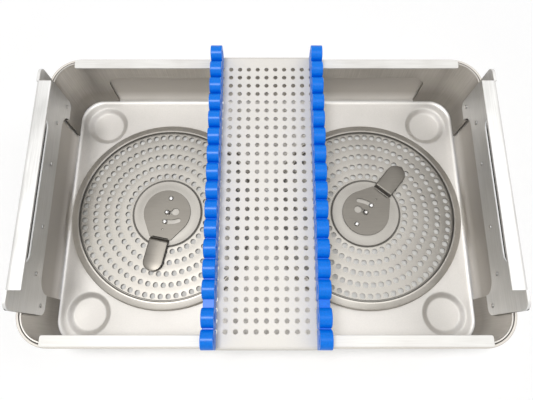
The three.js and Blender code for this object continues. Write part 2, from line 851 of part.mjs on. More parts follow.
addMesh(group, "bridge_plate", bridgePlate(), materials.bridge);

// Silicone strip: a row of round lobes along y over a base that a lip of the bridge grips from below.
// It is as long as the bridge, and a wider gap stands before its last two lobes at the front.
const lobeSpan = 2 * (hookOut - strip.lobeRadius) - strip.wideGap;
const lobeSteps = Math.round(lobeSpan / strip.lobePitch);
const lobeStep = lobeSpan / lobeSteps;

function lobeCentres() {
  const gapFrom = lobeSteps + 1 - strip.endLobeCount;
  return Array.from({ length: lobeSteps + 1 }, (_, i) => {
    const extra = i >= gapFrom ? strip.wideGap : 0;
    return hookOut - strip.lobeRadius - i * lobeStep - extra;
  });
}

function siliconeStrip(sign) {
  const base = bridgeTop + seatGap;
  const middle = base + strip.top - strip.lobeRadius;
  const centres = lobeCentres();
  const halfPitch = lobeStep / 2;
  const spread = THREE.MathUtils.radToDeg(Math.acos(Math.min(1, halfPitch / strip.lobeRadius)));
  const ridge = centres.flatMap((y, i) => {
    const first = i === 0 ? 0 : spread;
    const last = i === centres.length - 1 ? 180 : 180 - spread;
    return arc([y, middle], strip.lobeRadius, first, last, 5);
  });
  const outline = shapeOf([
    [centres[0] + strip.lobeRadius, base],
    ...ridge,
    [centres[centres.length - 1] - strip.lobeRadius, base],
  ]);
  const eye = polygon(1, 6).map(([y, z]) => [strip.holeHalfLength * y, strip.holeHalfHeight * z]);
  for (const y of centres) {
    outline.holes.push(new THREE.Path(eye.map(([dy, dz]) => new THREE.Vector2(y + dy, middle + dz))));
  }
  const centreX = sign * (bridge.halfWidth - bridge.sheet / 2);
  const body = alongX(outline, centreX - strip.width / 2, centreX + strip.width / 2);
  const grooveHalf = bridge.sheet / 2 + strip.slack;
  const groove = box(
    [centreX - grooveHalf, -pan.width, base - overrun],
    [centreX + grooveHalf, pan.width, bridgeTop + strip.grooveDepth],
  );
  return cut(body, groove);
}
addMesh(group, "bridge_strip_left", siliconeStrip(-1), materials.silicone);
addMesh(group, "bridge_strip_right", siliconeStrip(1), materials.silicone);

// Bail handles on the end walls, made for the right-hand end and mirrored for the left.
function handleBracket() {
  const sheet = box(
    [bracketBack, -bracket.halfLength, axis.z - bracket.height / 2],
    [bracketFront, bracket.halfLength, axis.z + bracket.height / 2],
  );
  const round = bracket.earHeight / 2;
  const earShape = shapeOf([
    [bracketBack, axis.z - round],
    ...arc([axis.x, axis.z], round, -90, 90),
    [bracketBack, axis.z + round],
  ]);
  const pieces = [-1, 1].map((sign) => {
    const middle = sign * earDistance;
    return alongY(earShape, middle - bracket.earThickness / 2, middle + bracket.earThickness / 2);
  });
  const bore = onto(
    new THREE.Matrix4().makeRotationX(Math.PI / 2),
    drill(bail.rodRadius + seatGap, -pan.width, pan.width),
  );
  const body = cut(joined(sheet, ...pieces), moved(bore, axis.x, 0, axis.z));
  return drillBracketRivets(body);
}

// The bail is one bent rod: in through one ear, down, across, up and in through the other ear.
function bailHandle() {
  const stub = earDistance - bracket.earThickness / 2 - bail.stubOverlap;
  const r = bail.bendRadius;
  const point = (y, z) => new THREE.Vector3(axis.x, y, axis.z + z);
  const path = new THREE.CurvePath();
  const corners = [point(bailHalfSpan, 0), point(bailHalfSpan, -bail.drop)];
  corners.push(point(-bailHalfSpan, -bail.drop), point(-bailHalfSpan, 0));
  let from = point(stub, 0);
  const last = point(-stub, 0);
  corners.forEach((corner, i) => {
    const next = corners[i + 1] ?? last;
    const before = corner.clone().add(from.clone().sub(corner).setLength(r));
    const after = corner.clone().add(next.clone().sub(corner).setLength(r));
    path.add(new THREE.LineCurve3(from, before));
    path.add(new THREE.QuadraticBezierCurve3(before, corner, after));
    from = after;
  });
  path.add(new THREE.LineCurve3(from, last));
  const section = shapeOf(polygon(bail.rodRadius, roundHole));
  return solid(new THREE.ExtrudeGeometry(section, { steps: bailSteps, extrudePath: path, bevelEnabled: false }));
}

function bracketRivetBody() {
  const length = bracketFront - (endWallOutside - pan.sheet);
  const headBottom = length + seatGap;
  const upright = lathe(
    [
      [0, 0],
      [bracketRivet.shankRadius, 0],
      [bracketRivet.shankRadius, headBottom],
      [bracketRivet.headRadius, headBottom],
      [bracketRivet.headRadius * Math.SQRT1_2, headBottom + bracketRivet.headHeight * Math.SQRT1_2],
      [0, headBottom + bracketRivet.headHeight],
    ],
    rivetSides,
  );
  return moved(layOnX(upright, 1), endWallOutside - pan.sheet, 0, axis.z);
}

const bracketBody = handleBracket();
const bailBody = bailHandle();
for (const { name, sign } of ends) {
  addMesh(group, `handle_bracket_${name}`, onEnd(bracketBody, sign), materials.handle);
  addMesh(group, `handle_bail_${name}`, onEnd(bailBody, sign), materials.handle);
  bracketRivetPlaces.forEach((y, i) => {
    const rivet = moved(bracketRivetBody(), 0, y, 0);
    addMesh(group, `bracket_rivet_${name}_${i + 1}`, onEnd(rivet, sign), materials.rivet);
  });
}

export default group;
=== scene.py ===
"""Looks of a steel sterilization container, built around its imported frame.

Sizes are in millimetres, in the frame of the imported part: +Z up, +X to the right-hand end, +Y to the rear.
"""

import logging
import math
from dataclasses import dataclass
from enum import Enum
from typing import Any, Optional

import bmesh
import bpy
from mathutils import Matrix, Vector
from mathutils.geometry import tessellate_polygon


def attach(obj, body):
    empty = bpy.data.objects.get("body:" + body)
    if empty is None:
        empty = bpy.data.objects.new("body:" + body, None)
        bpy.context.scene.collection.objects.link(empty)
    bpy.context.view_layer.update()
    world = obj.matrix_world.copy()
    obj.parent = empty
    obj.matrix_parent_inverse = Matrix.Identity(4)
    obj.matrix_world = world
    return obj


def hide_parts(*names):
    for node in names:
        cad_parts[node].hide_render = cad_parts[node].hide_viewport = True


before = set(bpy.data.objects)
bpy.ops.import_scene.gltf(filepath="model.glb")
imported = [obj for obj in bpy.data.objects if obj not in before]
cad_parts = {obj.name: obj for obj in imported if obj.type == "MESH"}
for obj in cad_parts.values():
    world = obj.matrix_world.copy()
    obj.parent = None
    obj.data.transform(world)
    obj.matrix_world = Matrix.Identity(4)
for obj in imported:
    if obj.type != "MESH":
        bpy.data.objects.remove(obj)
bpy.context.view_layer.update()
LOG = logging.getLogger("container")
# A millimetre in metres
MM = 0.001
# Steps round a turned piece
ROUND = 96
# The two ends of the container, by name and by the sign of their x
ENDS = (("left", -1), ("right", 1))

# Node types that several trees use
MATHS = "ShaderNodeMath"
VECTOR_MATHS = "ShaderNodeVectorMath"
RANGE = "ShaderNodeMapRange"
MIX = "ShaderNodeMix"
NOISE = "ShaderNodeTexNoise"
SPLIT = "ShaderNodeSeparateXYZ"
COMBINE = "ShaderNodeCombineXYZ"
TRANSFORM = "GeometryNodeTransform"
ON_POINTS = "GeometryNodeInstanceOnPoints"
# Numbers of the Mix node's two colours and of their result
FIRST, SECOND, MIXED = 6, 7, 2
# Socket types of the patterns' named inputs
COUNT = "NodeSocketInt"
VECTOR = "NodeSocketVector"
# Each filter port by its side, its place along x and the heading of its lever in degrees
PORTS = (("left", -115.2, -101.9), ("right", 115.2, 50.8))

Loop = list[tuple[float, float]]
Faces = list[tuple[int, ...]]
Spot = tuple[float, float, float]
Span = tuple[float, float]
# A rivet's head radius, head height, shank radius and shank length
RivetSizes = tuple[float, float, float, float]
Colour = tuple[float, float, float, float]
Tree = bpy.types.NodeTree
Node = bpy.types.Node
Socket = bpy.types.NodeSocket
Mesh = bpy.types.Mesh
Material = bpy.types.Material


def linear(colour: str) -> Colour:
    """Turns an sRGB hex colour to linear values.

    Args:
        colour: the colour as "#rrggbb".

    Returns:
        Linear red, green, blue and an alpha of one.
    """
    shares = [int(colour[i : i + 2], 16) / 255 for i in (1, 3, 5)]
    red, green, blue = (s / 12.92 if s <= 0.04045 else ((s + 0.055) / 1.055) ** 2.4 for s in shares)
    return red, green, blue, 1.0


def wire(node: Node, inputs: dict[Any, Any]) -> None:
    """Sets and links a node's inputs.

    Args:
        node: the node.
        inputs: what each input takes, by its name or number. It is a value, an output socket, a node, which
            stands for its first output, or a list of nodes for an input that takes several.
    """
    for key, given in inputs.items():
        for value in given if isinstance(given, list) else [given]:
            source = value.outputs[0] if isinstance(value, Node) else value
            if isinstance(source, Socket):
                node.id_data.links.new(source, node.inputs[key])
            else:
                node.inputs[key].default_value = source


def add_node(near: Any, kind: str, inputs: Optional[dict[Any, Any]] = None, **settings: Any) -> Node:
    """Adds a node with its settings, values and links.

    Args:
        near: the tree that the node goes into, or a node or socket of that tree.
        kind: the node's type name.
        inputs: what its inputs take, in the way that wire takes them.
        settings: the node's own properties.

    Returns:
        The new node.
    """
    made = near.id_data.nodes.new(kind)
    for name, value in settings.items():
        setattr(made, name, value)
    wire(made, inputs or {})
    return made


def directly_seen(tree: Tree) -> Node:
    """Tells rays that show a surface, in the picture or in a reflection, from rays that only light it.

    Args:
        tree: the node tree to add to.

    Returns:
        The node that gives 1 for camera, glossy and transmission rays, and 0 for others.
    """
    path = add_node(tree, "ShaderNodeLightPath")
    seen = path.outputs["Is Camera Ray"]
    for kind in ("Is Glossy Ray", "Is Transmission Ray"):
        seen = add_node(tree, MATHS, {0: seen, 1: path.outputs[kind]}, operation="MAXIMUM")
    return seen


def new_paint(name: str) -> tuple[Material, Node, Socket]:
    """Starts a material.

    Args:
        name: its name.

    Returns:
        The material, its shader and the object coordinates.
    """
    made = bpy.data.materials.new(name)
    made.use_nodes = True
    place = add_node(made.node_tree, "ShaderNodeTexCoord").outputs["Object"]
    return made, made.node_tree.nodes["Principled BSDF"], place


def risen(place: Socket, start: float, end: float) -> Node:
    """Adds a share that runs from 0 at the start height to 1 at the end height."""
    height = add_node(place, SPLIT, {0: place}).outputs[2]
    return add_node(place, RANGE, {"Value": height, "From Min": start * MM, "From Max": end * MM})


class Run(Enum):
    """The way that the lines of a brushed sheet run."""

    ALONG_X = 0
    ALONG_Y = 1
    ALONG_Z = 2
    NO_LINES = 3


@dataclass(frozen=True)
class Fade:
    """A painted shade that changes with height: none at the first height, all of it at the second."""

    start: float
    end: float
    tint: str


@dataclass(frozen=True)
class Finish:
    """A finish with the two tones that its pattern runs between."""

    name: str
    bright: str
    dull: str

    def toned(self, share: Node) -> Socket:
        """Mixes the two tones: dull at a share of 0, bright at 1."""
        colours = {0: share, FIRST: linear(self.dull), SECOND: linear(self.bright)}
        return add_node(share, MIX, colours, data_type="RGBA").outputs[MIXED]

    def coated(self, shader: Node, depth: float, height: Node, looks: dict[str, Any]) -> None:
        """Gives the shader its looks and a relief of a depth in millimetres."""
        relief = {"Height": height, "Distance": depth * MM, "Strength": 1.0}
        wire(shader, {**looks, "Normal": add_node(shader, "ShaderNodeBump", relief)})


@dataclass(frozen=True)
class Sheet(Finish):
    """Stainless sheet, brushed in lines or glass-blasted to an even satin.

    The lines give long soft streaks across them, and cloudy patches show where hands and steam dulled it.
    Smooth and rough are its least and most roughness, grain the spacing of the lines and cloud the size of
    the patches. Wave is the spacing of the rings that pressing left about the centre. Painted light and shade
    go on as tints by distance from the centre, along the axes of spread, and as a painted shade that changes
    with height. Burnish is the belt of heights that the drawing die rubbed.
    """

    smooth: float
    rough: float
    run: Run = Run.NO_LINES
    grain: float = 0.9
    stretch: float = 40.0
    depth: float = 0.02
    cloud: float = 45.0
    centre: Span = (0.0, 0.0)
    wave: float = 0.0
    painted_height_shade: Optional[Fade] = None
    painted_light_bands: tuple[tuple[float, str], ...] = ()
    spread: Spot = (1.0, 1.0, 0.0)
    burnish: Optional[Span] = None
    rubbed: float = 0.44
    lines_on_waves: float = 0.12

    def grain_scale(self) -> Spot:
        """Gives the noise scale along each axis, from the real spacing of the lines."""
        across = 1 / (self.grain * MM)
        return tuple(across / self.stretch if axis == self.run.value else across for axis in range(3))

    def reach(self, place: Socket) -> Socket:
        """Adds the distance from the centre, along the axes that the bands spread over.

        Args:
            place: the object coordinates.

        Returns:
            The socket with the distance, in metres.
        """
        middle = (self.centre[0] * MM, self.centre[1] * MM, 0)
        offset = add_node(place, VECTOR_MATHS, {0: place, 1: middle}, operation="SUBTRACT")
        flat = add_node(place, VECTOR_MATHS, {0: offset, 1: self.spread}, operation="MULTIPLY")
        return add_node(place, VECTOR_MATHS, {0: flat}, operation="LENGTH").outputs["Value"]

    def ringed(self, place: Socket, lines: Node) -> Node:
        """Adds the faint rings that pressing leaves round a centre to the relief of the lines.

        Args:
            place: the object coordinates.
            lines: the node that gives the lines.

        Returns:
            The node that gives the height of both.
        """
        turns = {0: self.reach(place), 1: 2 * math.pi / (self.wave * MM)}
        phase = add_node(place, MATHS, turns, operation="MULTIPLY")
        waves = add_node(place, MATHS, {0: phase}, operation="SINE")
        return add_node(place, MATHS, {0: lines, 1: self.lines_on_waves, 2: waves}, operation="MULTIPLY_ADD")

    def burnished(self, place: Socket, gloss: Node) -> Node:
        """Smooths the belt that the drawing die rubbed, with a sharp lower edge and a soft upper one.

        Args:
            place: the object coordinates.
            gloss: the node that gives the roughness elsewhere.

        Returns:
            The node that gives the roughness.
        """
        low, high = self.burnish
        sharp, soft = 0.3, 3
        inside = {0: risen(place, low - sharp, low + sharp), 1: risen(place, high + soft, high - soft)}
        share = add_node(place, MATHS, inside, operation="MULTIPLY")
        return add_node(place, MIX, {0: share, 2: gloss, 3: self.rubbed})

    def banded(self, place: Socket) -> Node:
        """Adds painted light and shade in rings about the centre, such as painted shade in a groove inside a
        painted highlight on a rim.

        Args:
            place: the object coordinates.

        Returns:
            The node that gives the tint.
        """
        near, far = self.painted_light_bands[0][0], self.painted_light_bands[-1][0]
        span = {"Value": self.reach(place), "From Min": near * MM, "From Max": far * MM}
        tints = add_node(place, "ShaderNodeValToRGB", {0: add_node(place, RANGE, span)})
        stops = tints.color_ramp.elements
        while len(stops) < len(self.painted_light_bands):
            stops.new(0.5)
        # All places come first, because the ramp sorts its stops by place
        for stop, (distance, _) in zip(stops, self.painted_light_bands):
            stop.position = (distance - near) / (far - near)
        for stop, (_, tint) in zip(stops, self.painted_light_bands):
            stop.color = linear(tint)
        return tints

    def material(self) -> Material:
        """Builds the finish as a material.

        Returns:
            The new material.
        """
        made, shader, place = new_paint(self.name)
        mapped = add_node(place, "ShaderNodeMapping", {"Vector": place, "Scale": self.grain_scale()})
        lines = add_node(place, NOISE, {"Vector": mapped, "Scale": 1.0, "Detail": 3.0, "Roughness": 0.6})
        clouds = add_node(place, NOISE, {"Vector": place, "Scale": 1 / (self.cloud * MM), "Detail": 2.0})
        both = add_node(place, MATHS, {0: lines, 1: clouds}, operation="ADD")
        level = {"Value": both, "From Min": 0.7, "From Max": 1.3}
        tone = self.toned(add_node(place, RANGE, level))
        # Painted light and shade: a tint that comes in with height, taken by distance from the centre where
        # tints by distance are given
        if self.painted_height_shade or self.painted_light_bands:
            share = risen(place, self.painted_height_shade.start, self.painted_height_shade.end) if self.painted_height_shade else 1.0
            tint = self.banded(place) if self.painted_light_bands else linear(self.painted_height_shade.tint)
            colours = {0: share, FIRST: tone, SECOND: tint}
            tone = add_node(place, MIX, colours, data_type="RGBA", blend_type="MULTIPLY").outputs[MIXED]
        gloss = add_node(place, RANGE, {**level, "To Min": self.smooth, "To Max": self.rough})
        if self.burnish:
            gloss = self.burnished(place, gloss)
        height = self.ringed(place, lines) if self.wave else lines
        self.coated(shader, self.depth, height, {"Metallic": 1.0, "Base Color": tone, "Roughness": gloss})
        return made


@dataclass(frozen=True)
class Soft(Finish):
    """A moulded or felted material without metal: silicone, rubber or filter paper."""

    roughness: float
    grain: float
    depth: float
    shine: float = 0.5

    def material(self) -> Material:
        """Builds the finish as a material.

        Returns:
            The new material.
        """
        made, shader, place = new_paint(self.name)
        speck = add_node(place, NOISE, {"Vector": place, "Scale": 1 / (self.grain * MM), "Detail": 4.0})
        tone = self.toned(add_node(place, RANGE, {"Value": speck, "From Min": 0.35, "From Max": 0.65}))
        low = self.roughness - 0.05
        gloss = add_node(place, RANGE, {"Value": speck, "To Min": low, "To Max": low + 0.1})
        looks = {"Specular IOR Level": self.shine, "Base Color": tone, "Roughness": gloss}
        self.coated(shader, self.depth, speck, looks)
        return made


# Tints by distance from the middle, in millimetres: painted shade, nearly black, on the outer half of a side
# plate's cut edges, where the turned-in top shades them. The dark band also takes in the plate's outer skin,
# which is 228.5 mm out. The pale tint paints the rest of the plate a little darker than its untinted top.
EDGE_SHADE_BANDS = (
    (225.0, "#fafbfc"), (226.6, "#fafbfc"), (227.0, "#383838"), (228.8, "#383838"), (229.2, "#fafbfc"),
)
FINISHES = {
    # Satin of a glass-blasted deep-drawn pan: a bright floor, walls with painted shade that comes in from 16
    # to
    # 30 mm up and holds above, and between them a bend that the die rubbed smoother
    "pan": Sheet(
        "glass_blasted_pan_steel", "#ebe8e4", "#e0ddd8", 0.62, 0.72, depth=0.006, grain=1.2,
        painted_height_shade=Fade(16, 30, "#e2e0dd"), burnish=(7.0, 15.0),
    ),
    # Brushed before it was bent, so its lines run up the corner legs, with painted shade that darkens them
    # towards the pan's floor: none at 90 mm, all of it from 30 mm down
    "strap": Sheet(
        "brushed_strap_steel", "#d6d2cc", "#b6b2ac", 0.36, 0.5, Run.ALONG_Z, grain=0.8, stretch=60,
        depth=0.01, painted_height_shade=Fade(90, 30, "#b4b2af"),
    ),
    # Fine brushing along the length of the flanges
    "flange": Sheet("fine_brushed_flange_steel", "#dcdbd8", "#c6c4c0", 0.6, 0.72, Run.ALONG_X, depth=0.01),
    # Thick ground plate, brushed from front to rear: pale inside, its faces painted a little darker than its
    # turned-in top, and painted shade on the outer half of its laser-cut edges and on its outer skin below
    # the top
    "side": Sheet(
        "ground_side_plate_steel", "#e6e5e3", "#cecdca", 0.36, 0.5, Run.ALONG_Y, depth=0.01,
        painted_height_shade=Fade(129.2, 127.5, "#fafbfc"), painted_light_bands=EDGE_SHADE_BANDS, spread=(1.0, 0.0, 0.0),
    ),
    # Satin deck: pale and without lines
    "deck": Sheet("satin_deck_steel", "#d9d6d1", "#cfccc6", 0.7, 0.78, depth=0.004, grain=1.0),
    # Thin pressed lever, brushed along X
    "lever": Sheet(
        "brushed_lever_steel", "#7c7871", "#6e6a64", 0.36, 0.46, Run.ALONG_X, depth=0.006, grain=0.5
    ),
    # Turned and tumbled, so bright all over
    "rivet": Sheet("tumbled_rivet_steel", "#dddbd8", "#c4c1bd", 0.26, 0.38, grain=0.5, depth=0.005),
    # Drawn rod and thick sheet, polished
    "handle": Sheet("polished_handle_steel", "#cccccc", "#b4b4b4", 0.18, 0.30, grain=0.8, depth=0.006),
    # Moulded silicone: dense blue, soft highlights
    "silicone": Soft("moulded_silicone", "#027ff0", "#0274e2", 0.3, 1.4, 0.004, 0.25),
    # Moulded rubber ring: pale grey, dull
    "gasket": Soft("moulded_gasket_rubber", "#dadad6", "#c6c6c2", 0.6, 1.0, 0.02),
    # Felted fibres of a throw-away filter: white and dull
    "paper": Soft("felted_filter_paper", "#fbfaf7", "#eeece7", 0.9, 0.8, 0.05),
}


def arc(centre: Span, radius: float, start: float, end: float, steps: int) -> Loop:
    """Gives points of an arc.

    Args:
        centre: the arc's centre.
        radius: its radius.
        start: the first angle, in degrees.
        end: the last angle, in degrees.
        steps: the number of steps between them.

    Returns:
        The points, both ends included.
    """
    angles = [math.radians(start + (end - start) * i / steps) for i in range(steps + 1)]
    return [(centre[0] + radius * math.cos(a), centre[1] + radius * math.sin(a)) for a in angles]


def circle(centre: Span, radius: float, steps: int) -> Loop:
    """Gives a closed circle of points, without the first one again at its end."""
    return arc(centre, radius, 0, 360, steps)[:-1]


def rounded_rectangle(half_u: float, half_v: float, radius: float, steps: int = 10) -> Loop:
    """Gives a rectangle with round corners about the origin.

    Args:
        half_u: half its first side.
        half_v: half its second side.
        radius: the corner radius.
        steps: the steps round each corner.

    Returns:
        The outline, counter-clockwise.
    """
    u, v = half_u - radius, half_v - radius
    corners = [((u, -v), -90), ((u, v), 0), ((-u, v), 90), ((-u, -v), 180)]
    return [p for centre, start in corners for p in arc(centre, radius, start, start + 90, steps)]


def oblong(half: float, low: float, high: float) -> Loop:
    """Gives a rectangle that reaches half each way of the middle, from low to high."""
    return [(-half, low), (half, low), (half, high), (-half, high)]


def archway(half_width: float, base: float, top: float, radius: float) -> Loop:
    """Gives a doorway outline with round upper corners.

    Args:
        half_width: half its width.
        base: where it starts.
        top: where it ends.
        radius: the radius of its upper corners.

    Returns:
        The outline, counter-clockwise.
    """
    right = arc((half_width - radius, top - radius), radius, 0, 90, 12)
    left = arc((-half_width + radius, top - radius), radius, 90, 180, 12)
    return [(-half_width, base), (half_width, base), *right, *left]


def eased(share: float) -> float:
    """Turns a steady rise from 0 to 1 to one with soft ends."""
    return share * share * (3 - 2 * share)


def signed_area(loop: Loop) -> float:
    """Gives a loop's area, positive where it runs counter-clockwise."""
    pairs = zip(loop, loop[1:] + loop[:1])
    return sum(a[0] * b[1] - b[0] * a[1] for a, b in pairs) / 2


def drawn_in(loop: Loop, amount: float) -> Loop:
    """Moves a loop to its left, which is into the sheet for both an outline and a hole.

    Args:
        loop: an outline that runs counter-clockwise, or a hole that runs clockwise.
        amount: how far each side moves.

    Returns:
        The moved loop, with as many points.
    """
    moved = []
    for before, here, after in zip(loop[-1:] + loop[:-1], loop, loop[1:] + loop[:1]):
        first = Vector((here[0] - before[0], here[1] - before[1])).normalized()
        second = Vector((after[0] - here[0], after[1] - here[1])).normalized()
        sides = Vector((-first.y, first.x)) + Vector((-second.y, second.x))
        reach = max(sides.dot(sides) / 2, 0.5)
        moved.append((here[0] + sides.x * amount / reach, here[1] + sides.y * amount / reach))
    return moved


class Facing(Enum):
    """The way that a flat outline's thickness points."""

    UP = "xyz"
    ENDWAYS = "yzx"
    SIDEWAYS = "xzy"

    def place(self, u: float, v: float, w: float) -> Spot:
        """Gives the point at (u, v) on the outline and w through the thickness."""
        by_axis = dict(zip(self.value, (u, v, w)))
        return by_axis["x"], by_axis["y"], by_axis["z"]


class Shell:
    """Points in millimetres and the faces between them."""

    def __init__(self, points: Optional[list[Spot]] = None, faces: Optional[Faces] = None) -> None:
        """Starts with the points and faces given, or with none."""
        self.points = list(points or [])
        self.faces = list(faces or [])

    def ring(self, points: list[Spot]) -> list[int]:
        """Adds points and gives their numbers."""
        self.points.extend(points)
        return list(range(len(self.points) - len(points), len(self.points)))

    def stack(self, levels: list[list[Spot]]) -> list[list[int]]:
        """Adds closed rings of as many points, each joined to the next by quads.

        Args:
            levels: the rings' points.

        Returns:
            The numbers of each ring's points.
        """
        rings = [self.ring(points) for points in levels]
        for low, high in zip(rings, rings[1:]):
            for i, near in enumerate(low):
                after = (i + 1) % len(low)
                self.faces.append((near, low[after], high[after], high[i]))
        return rings

    def cap(self, loops: list[Loop], rings: list[list[int]]) -> None:
        """Fills a flat outline, with any holes, between points that are already there.

        Args:
            loops: the outline and then its holes.
            rings: the numbers of the same points.
        """
        numbers = [n for ring in rings for n in ring]
        for triangle in tessellate_polygon([[Vector((u, v, 0)) for u, v in loop] for loop in loops]):
            self.faces.append(tuple(numbers[i] for i in triangle))

    def joined(self, other: "Shell") -> "Shell":
        """Gives one shell with the faces of both."""
        faces = [tuple(len(self.points) + n for n in face) for face in other.faces]
        return Shell(self.points + other.points, self.faces + faces)

    def moved(self, matrix: Matrix) -> "Shell":
        """Gives a copy moved by a matrix in millimetres."""
        return Shell([tuple(matrix @ Vector(p)) for p in self.points], self.faces)

    def mesh(self, name: str) -> Mesh:
        """Builds a closed mesh in metres with its faces pointing outwards.

        Args:
            name: the mesh's name.

        Returns:
            The new mesh.
        """
        made = bpy.data.meshes.new(name)
        made.from_pydata([tuple(c * MM for c in p) for p in self.points], [], self.faces)
        work = bmesh.new()
        work.from_mesh(made)
        bmesh.ops.remove_doubles(work, verts=work.verts, dist=2e-6)
        bmesh.ops.recalc_face_normals(work, faces=work.faces)
        work.to_mesh(made)
        work.free()
        return made


def level_with(points: Loop, height: float) -> list[Spot]:
    """Lifts a flat loop to a height."""
    return [(x, y, height) for x, y in points]


def slab(loops: list[Loop], low: float, high: float, facing: Facing = Facing.UP, bevel: float = 0.2) -> Shell:
    """Makes a flat sheet from an outline and its holes, with bevelled edges.

    Args:
        loops: the outline and then its holes.
        low: where the thickness starts.
        high: where the thickness ends.
        facing: the way that the thickness points.
        bevel: the width of the bevel, or zero for none.

    Returns:
        The closed shell.
    """
    made = Shell()
    flat: list[list[Loop]] = [[], []]
    numbers: list[list[list[int]]] = [[], []]
    for number, loop in enumerate(loops):
        turned = loop if (signed_area(loop) > 0) == (number == 0) else loop[::-1]
        inner = drawn_in(turned, bevel) if bevel else turned
        levels = [(inner, low), (turned, low + bevel), (turned, high - bevel), (inner, high)]
        if not bevel:
            levels = [levels[0], levels[-1]]
        rings = made.stack([[facing.place(u, v, w) for u, v in points] for points, w in levels])
        for end in (0, -1):
            flat[end].append(levels[end][0])
            numbers[end].append(rings[end])
    for end in (0, -1):
        made.cap(flat[end], numbers[end])
    return made


def revolved(profile: Loop, steps: int = ROUND) -> Shell:
    """Turns a profile of (radius, height) about the z axis.

    Args:
        profile: a closed profile, or one whose two ends lie on the axis.
        steps: the number of steps round.

    Returns:
        The closed shell.
    """
    made = Shell()
    closed = profile[0][0] > 0
    points = profile + profile[:1] if closed else profile
    rings = []
    for radius, height in points:
        if radius == 0:
            rings.append(made.ring([(0.0, 0.0, height)]) * steps)
        else:
            rings.append(made.ring(level_with(circle((0, 0), radius, steps), height)))
    for below, above in zip(rings, rings[1:]):
        for i in range(steps):
            after = (i + 1) % steps
            corners = [below[i], below[after], above[after], above[i]]
            made.faces.append(tuple(dict.fromkeys(corners)))
    return made


def lofted(sections: list[list[Spot]]) -> Shell:
    """Makes a closed skin through rings of as many points, with flat ends.

    Args:
        sections: the rings.

    Returns:
        The closed shell.
    """
    made = Shell()
    rings = made.stack(sections)
    made.faces += [tuple(rings[0]), tuple(rings[-1])]
    return made


def held(mesh: Mesh) -> bpy.types.Object:
    """Puts a mesh into a new object in the scene, so that modifiers can work on it.

    Args:
        mesh: the mesh.

    Returns:
        The object.
    """
    made = bpy.data.objects.new(mesh.name, mesh)
    bpy.context.scene.collection.objects.link(made)
    return made


def baked(holder: bpy.types.Object, name: str) -> Mesh:
    """Turns an object with its modifiers to a plain mesh and removes the object.

    Args:
        holder: the object.
        name: the new mesh's name.

    Returns:
        The finished mesh.
    """
    view = bpy.context.evaluated_depsgraph_get()
    made = bpy.data.meshes.new_from_object(holder.evaluated_get(view), depsgraph=view)
    made.name = name
    holder.modifiers.clear()
    bpy.data.objects.remove(holder)
    return made


def carved(mesh: Mesh, tools: list[tuple[Mesh, str]]) -> Mesh:
    """Joins other meshes to one, or cuts them out of it.

    Args:
        mesh: the blank.
        tools: each tool's mesh and UNION or DIFFERENCE.

    Returns:
        The result.
    """
    blank = held(mesh)
    others = []
    for tool, operation in tools:
        others.append(held(tool))
        modifier = blank.modifiers.new("carve", "BOOLEAN")
        modifier.object = others[-1]
        modifier.operation = operation
        modifier.solver = "MANIFOLD"
    made = baked(blank, mesh.name + "_cut")
    for other in others:
        bpy.data.objects.remove(other)
    return made


def mirrored(mesh: Mesh, sign: int) -> Mesh:
    """Mirrors a mesh that is made for the right-hand end.

    Args:
        mesh: the mesh.
        sign: -1 to mirror it to the left-hand end, or 1 to leave it.

    Returns:
        The same mesh.
    """
    if sign < 0:
        mesh.transform(Matrix.Scale(-1, 4, (1, 0, 0)))
        mesh.flip_normals()
    return mesh


class Pattern:
    """A Geometry Nodes tree with named inputs, ending in Realize Instances and Set Material."""

    def __init__(self, name: str) -> None:
        """Starts an empty tree.

        Args:
            name: the tree's name.
        """
        self.tree = bpy.data.node_groups.new(name, "GeometryNodeTree")
        for way in ("INPUT", "OUTPUT"):
            self.tree.interface.new_socket("Geometry", in_out=way, socket_type="NodeSocketGeometry")
        self.entry = self.tree.nodes.new("NodeGroupInput")

    def size(self, name: str, kind: str = "NodeSocketFloat") -> Socket:
        """Adds a named input and gives its socket inside the tree."""
        self.tree.interface.new_socket(name, in_out="INPUT", socket_type=kind)
        return self.entry.outputs[name]

    def add(self, kind: str, inputs: Optional[dict[Any, Any]] = None, **settings: Any) -> Node:
        """Adds a node to the tree."""
        return add_node(self.tree, kind, inputs, **settings)

    def close(self, geometry: Node) -> None:
        """Ends the tree in Realize Instances and Set Material.

        Args:
            geometry: the node that gives the geometry.
        """
        real = self.add("GeometryNodeRealizeInstances", {"Geometry": geometry})
        dressed = {"Geometry": real, "Material": self.size("Finish", "NodeSocketMaterial")}
        self.add("NodeGroupOutput", {"Geometry": self.add("GeometryNodeSetMaterial", dressed)})

    def bake(
        self, mesh: Mesh, finish: Material, lengths: dict[str, Any], others: Optional[dict[str, Any]] = None
    ) -> Mesh:
        """Runs the tree on a mesh.

        Args:
            mesh: the blank, or the points to put copies on.
            finish: the material.
            lengths: the named inputs that are lengths or places, in millimetres.
            others: the named inputs that are counts or angles.

        Returns:
            The finished mesh.
        """
        values = {"Finish": finish, **(others or {})}
        for name, size in lengths.items():
            values[name] = tuple(c * MM for c in size) if isinstance(size, tuple) else size * MM
        holder = held(mesh)
        modifier = holder.modifiers.new("pattern", "NODES")
        modifier.node_group = self.tree
        for item in self.tree.interface.items_tree:
            if item.in_out == "INPUT" and item.name in values:
                modifier[item.identifier] = values[item.name]
        return baked(holder, mesh.name + "_made")


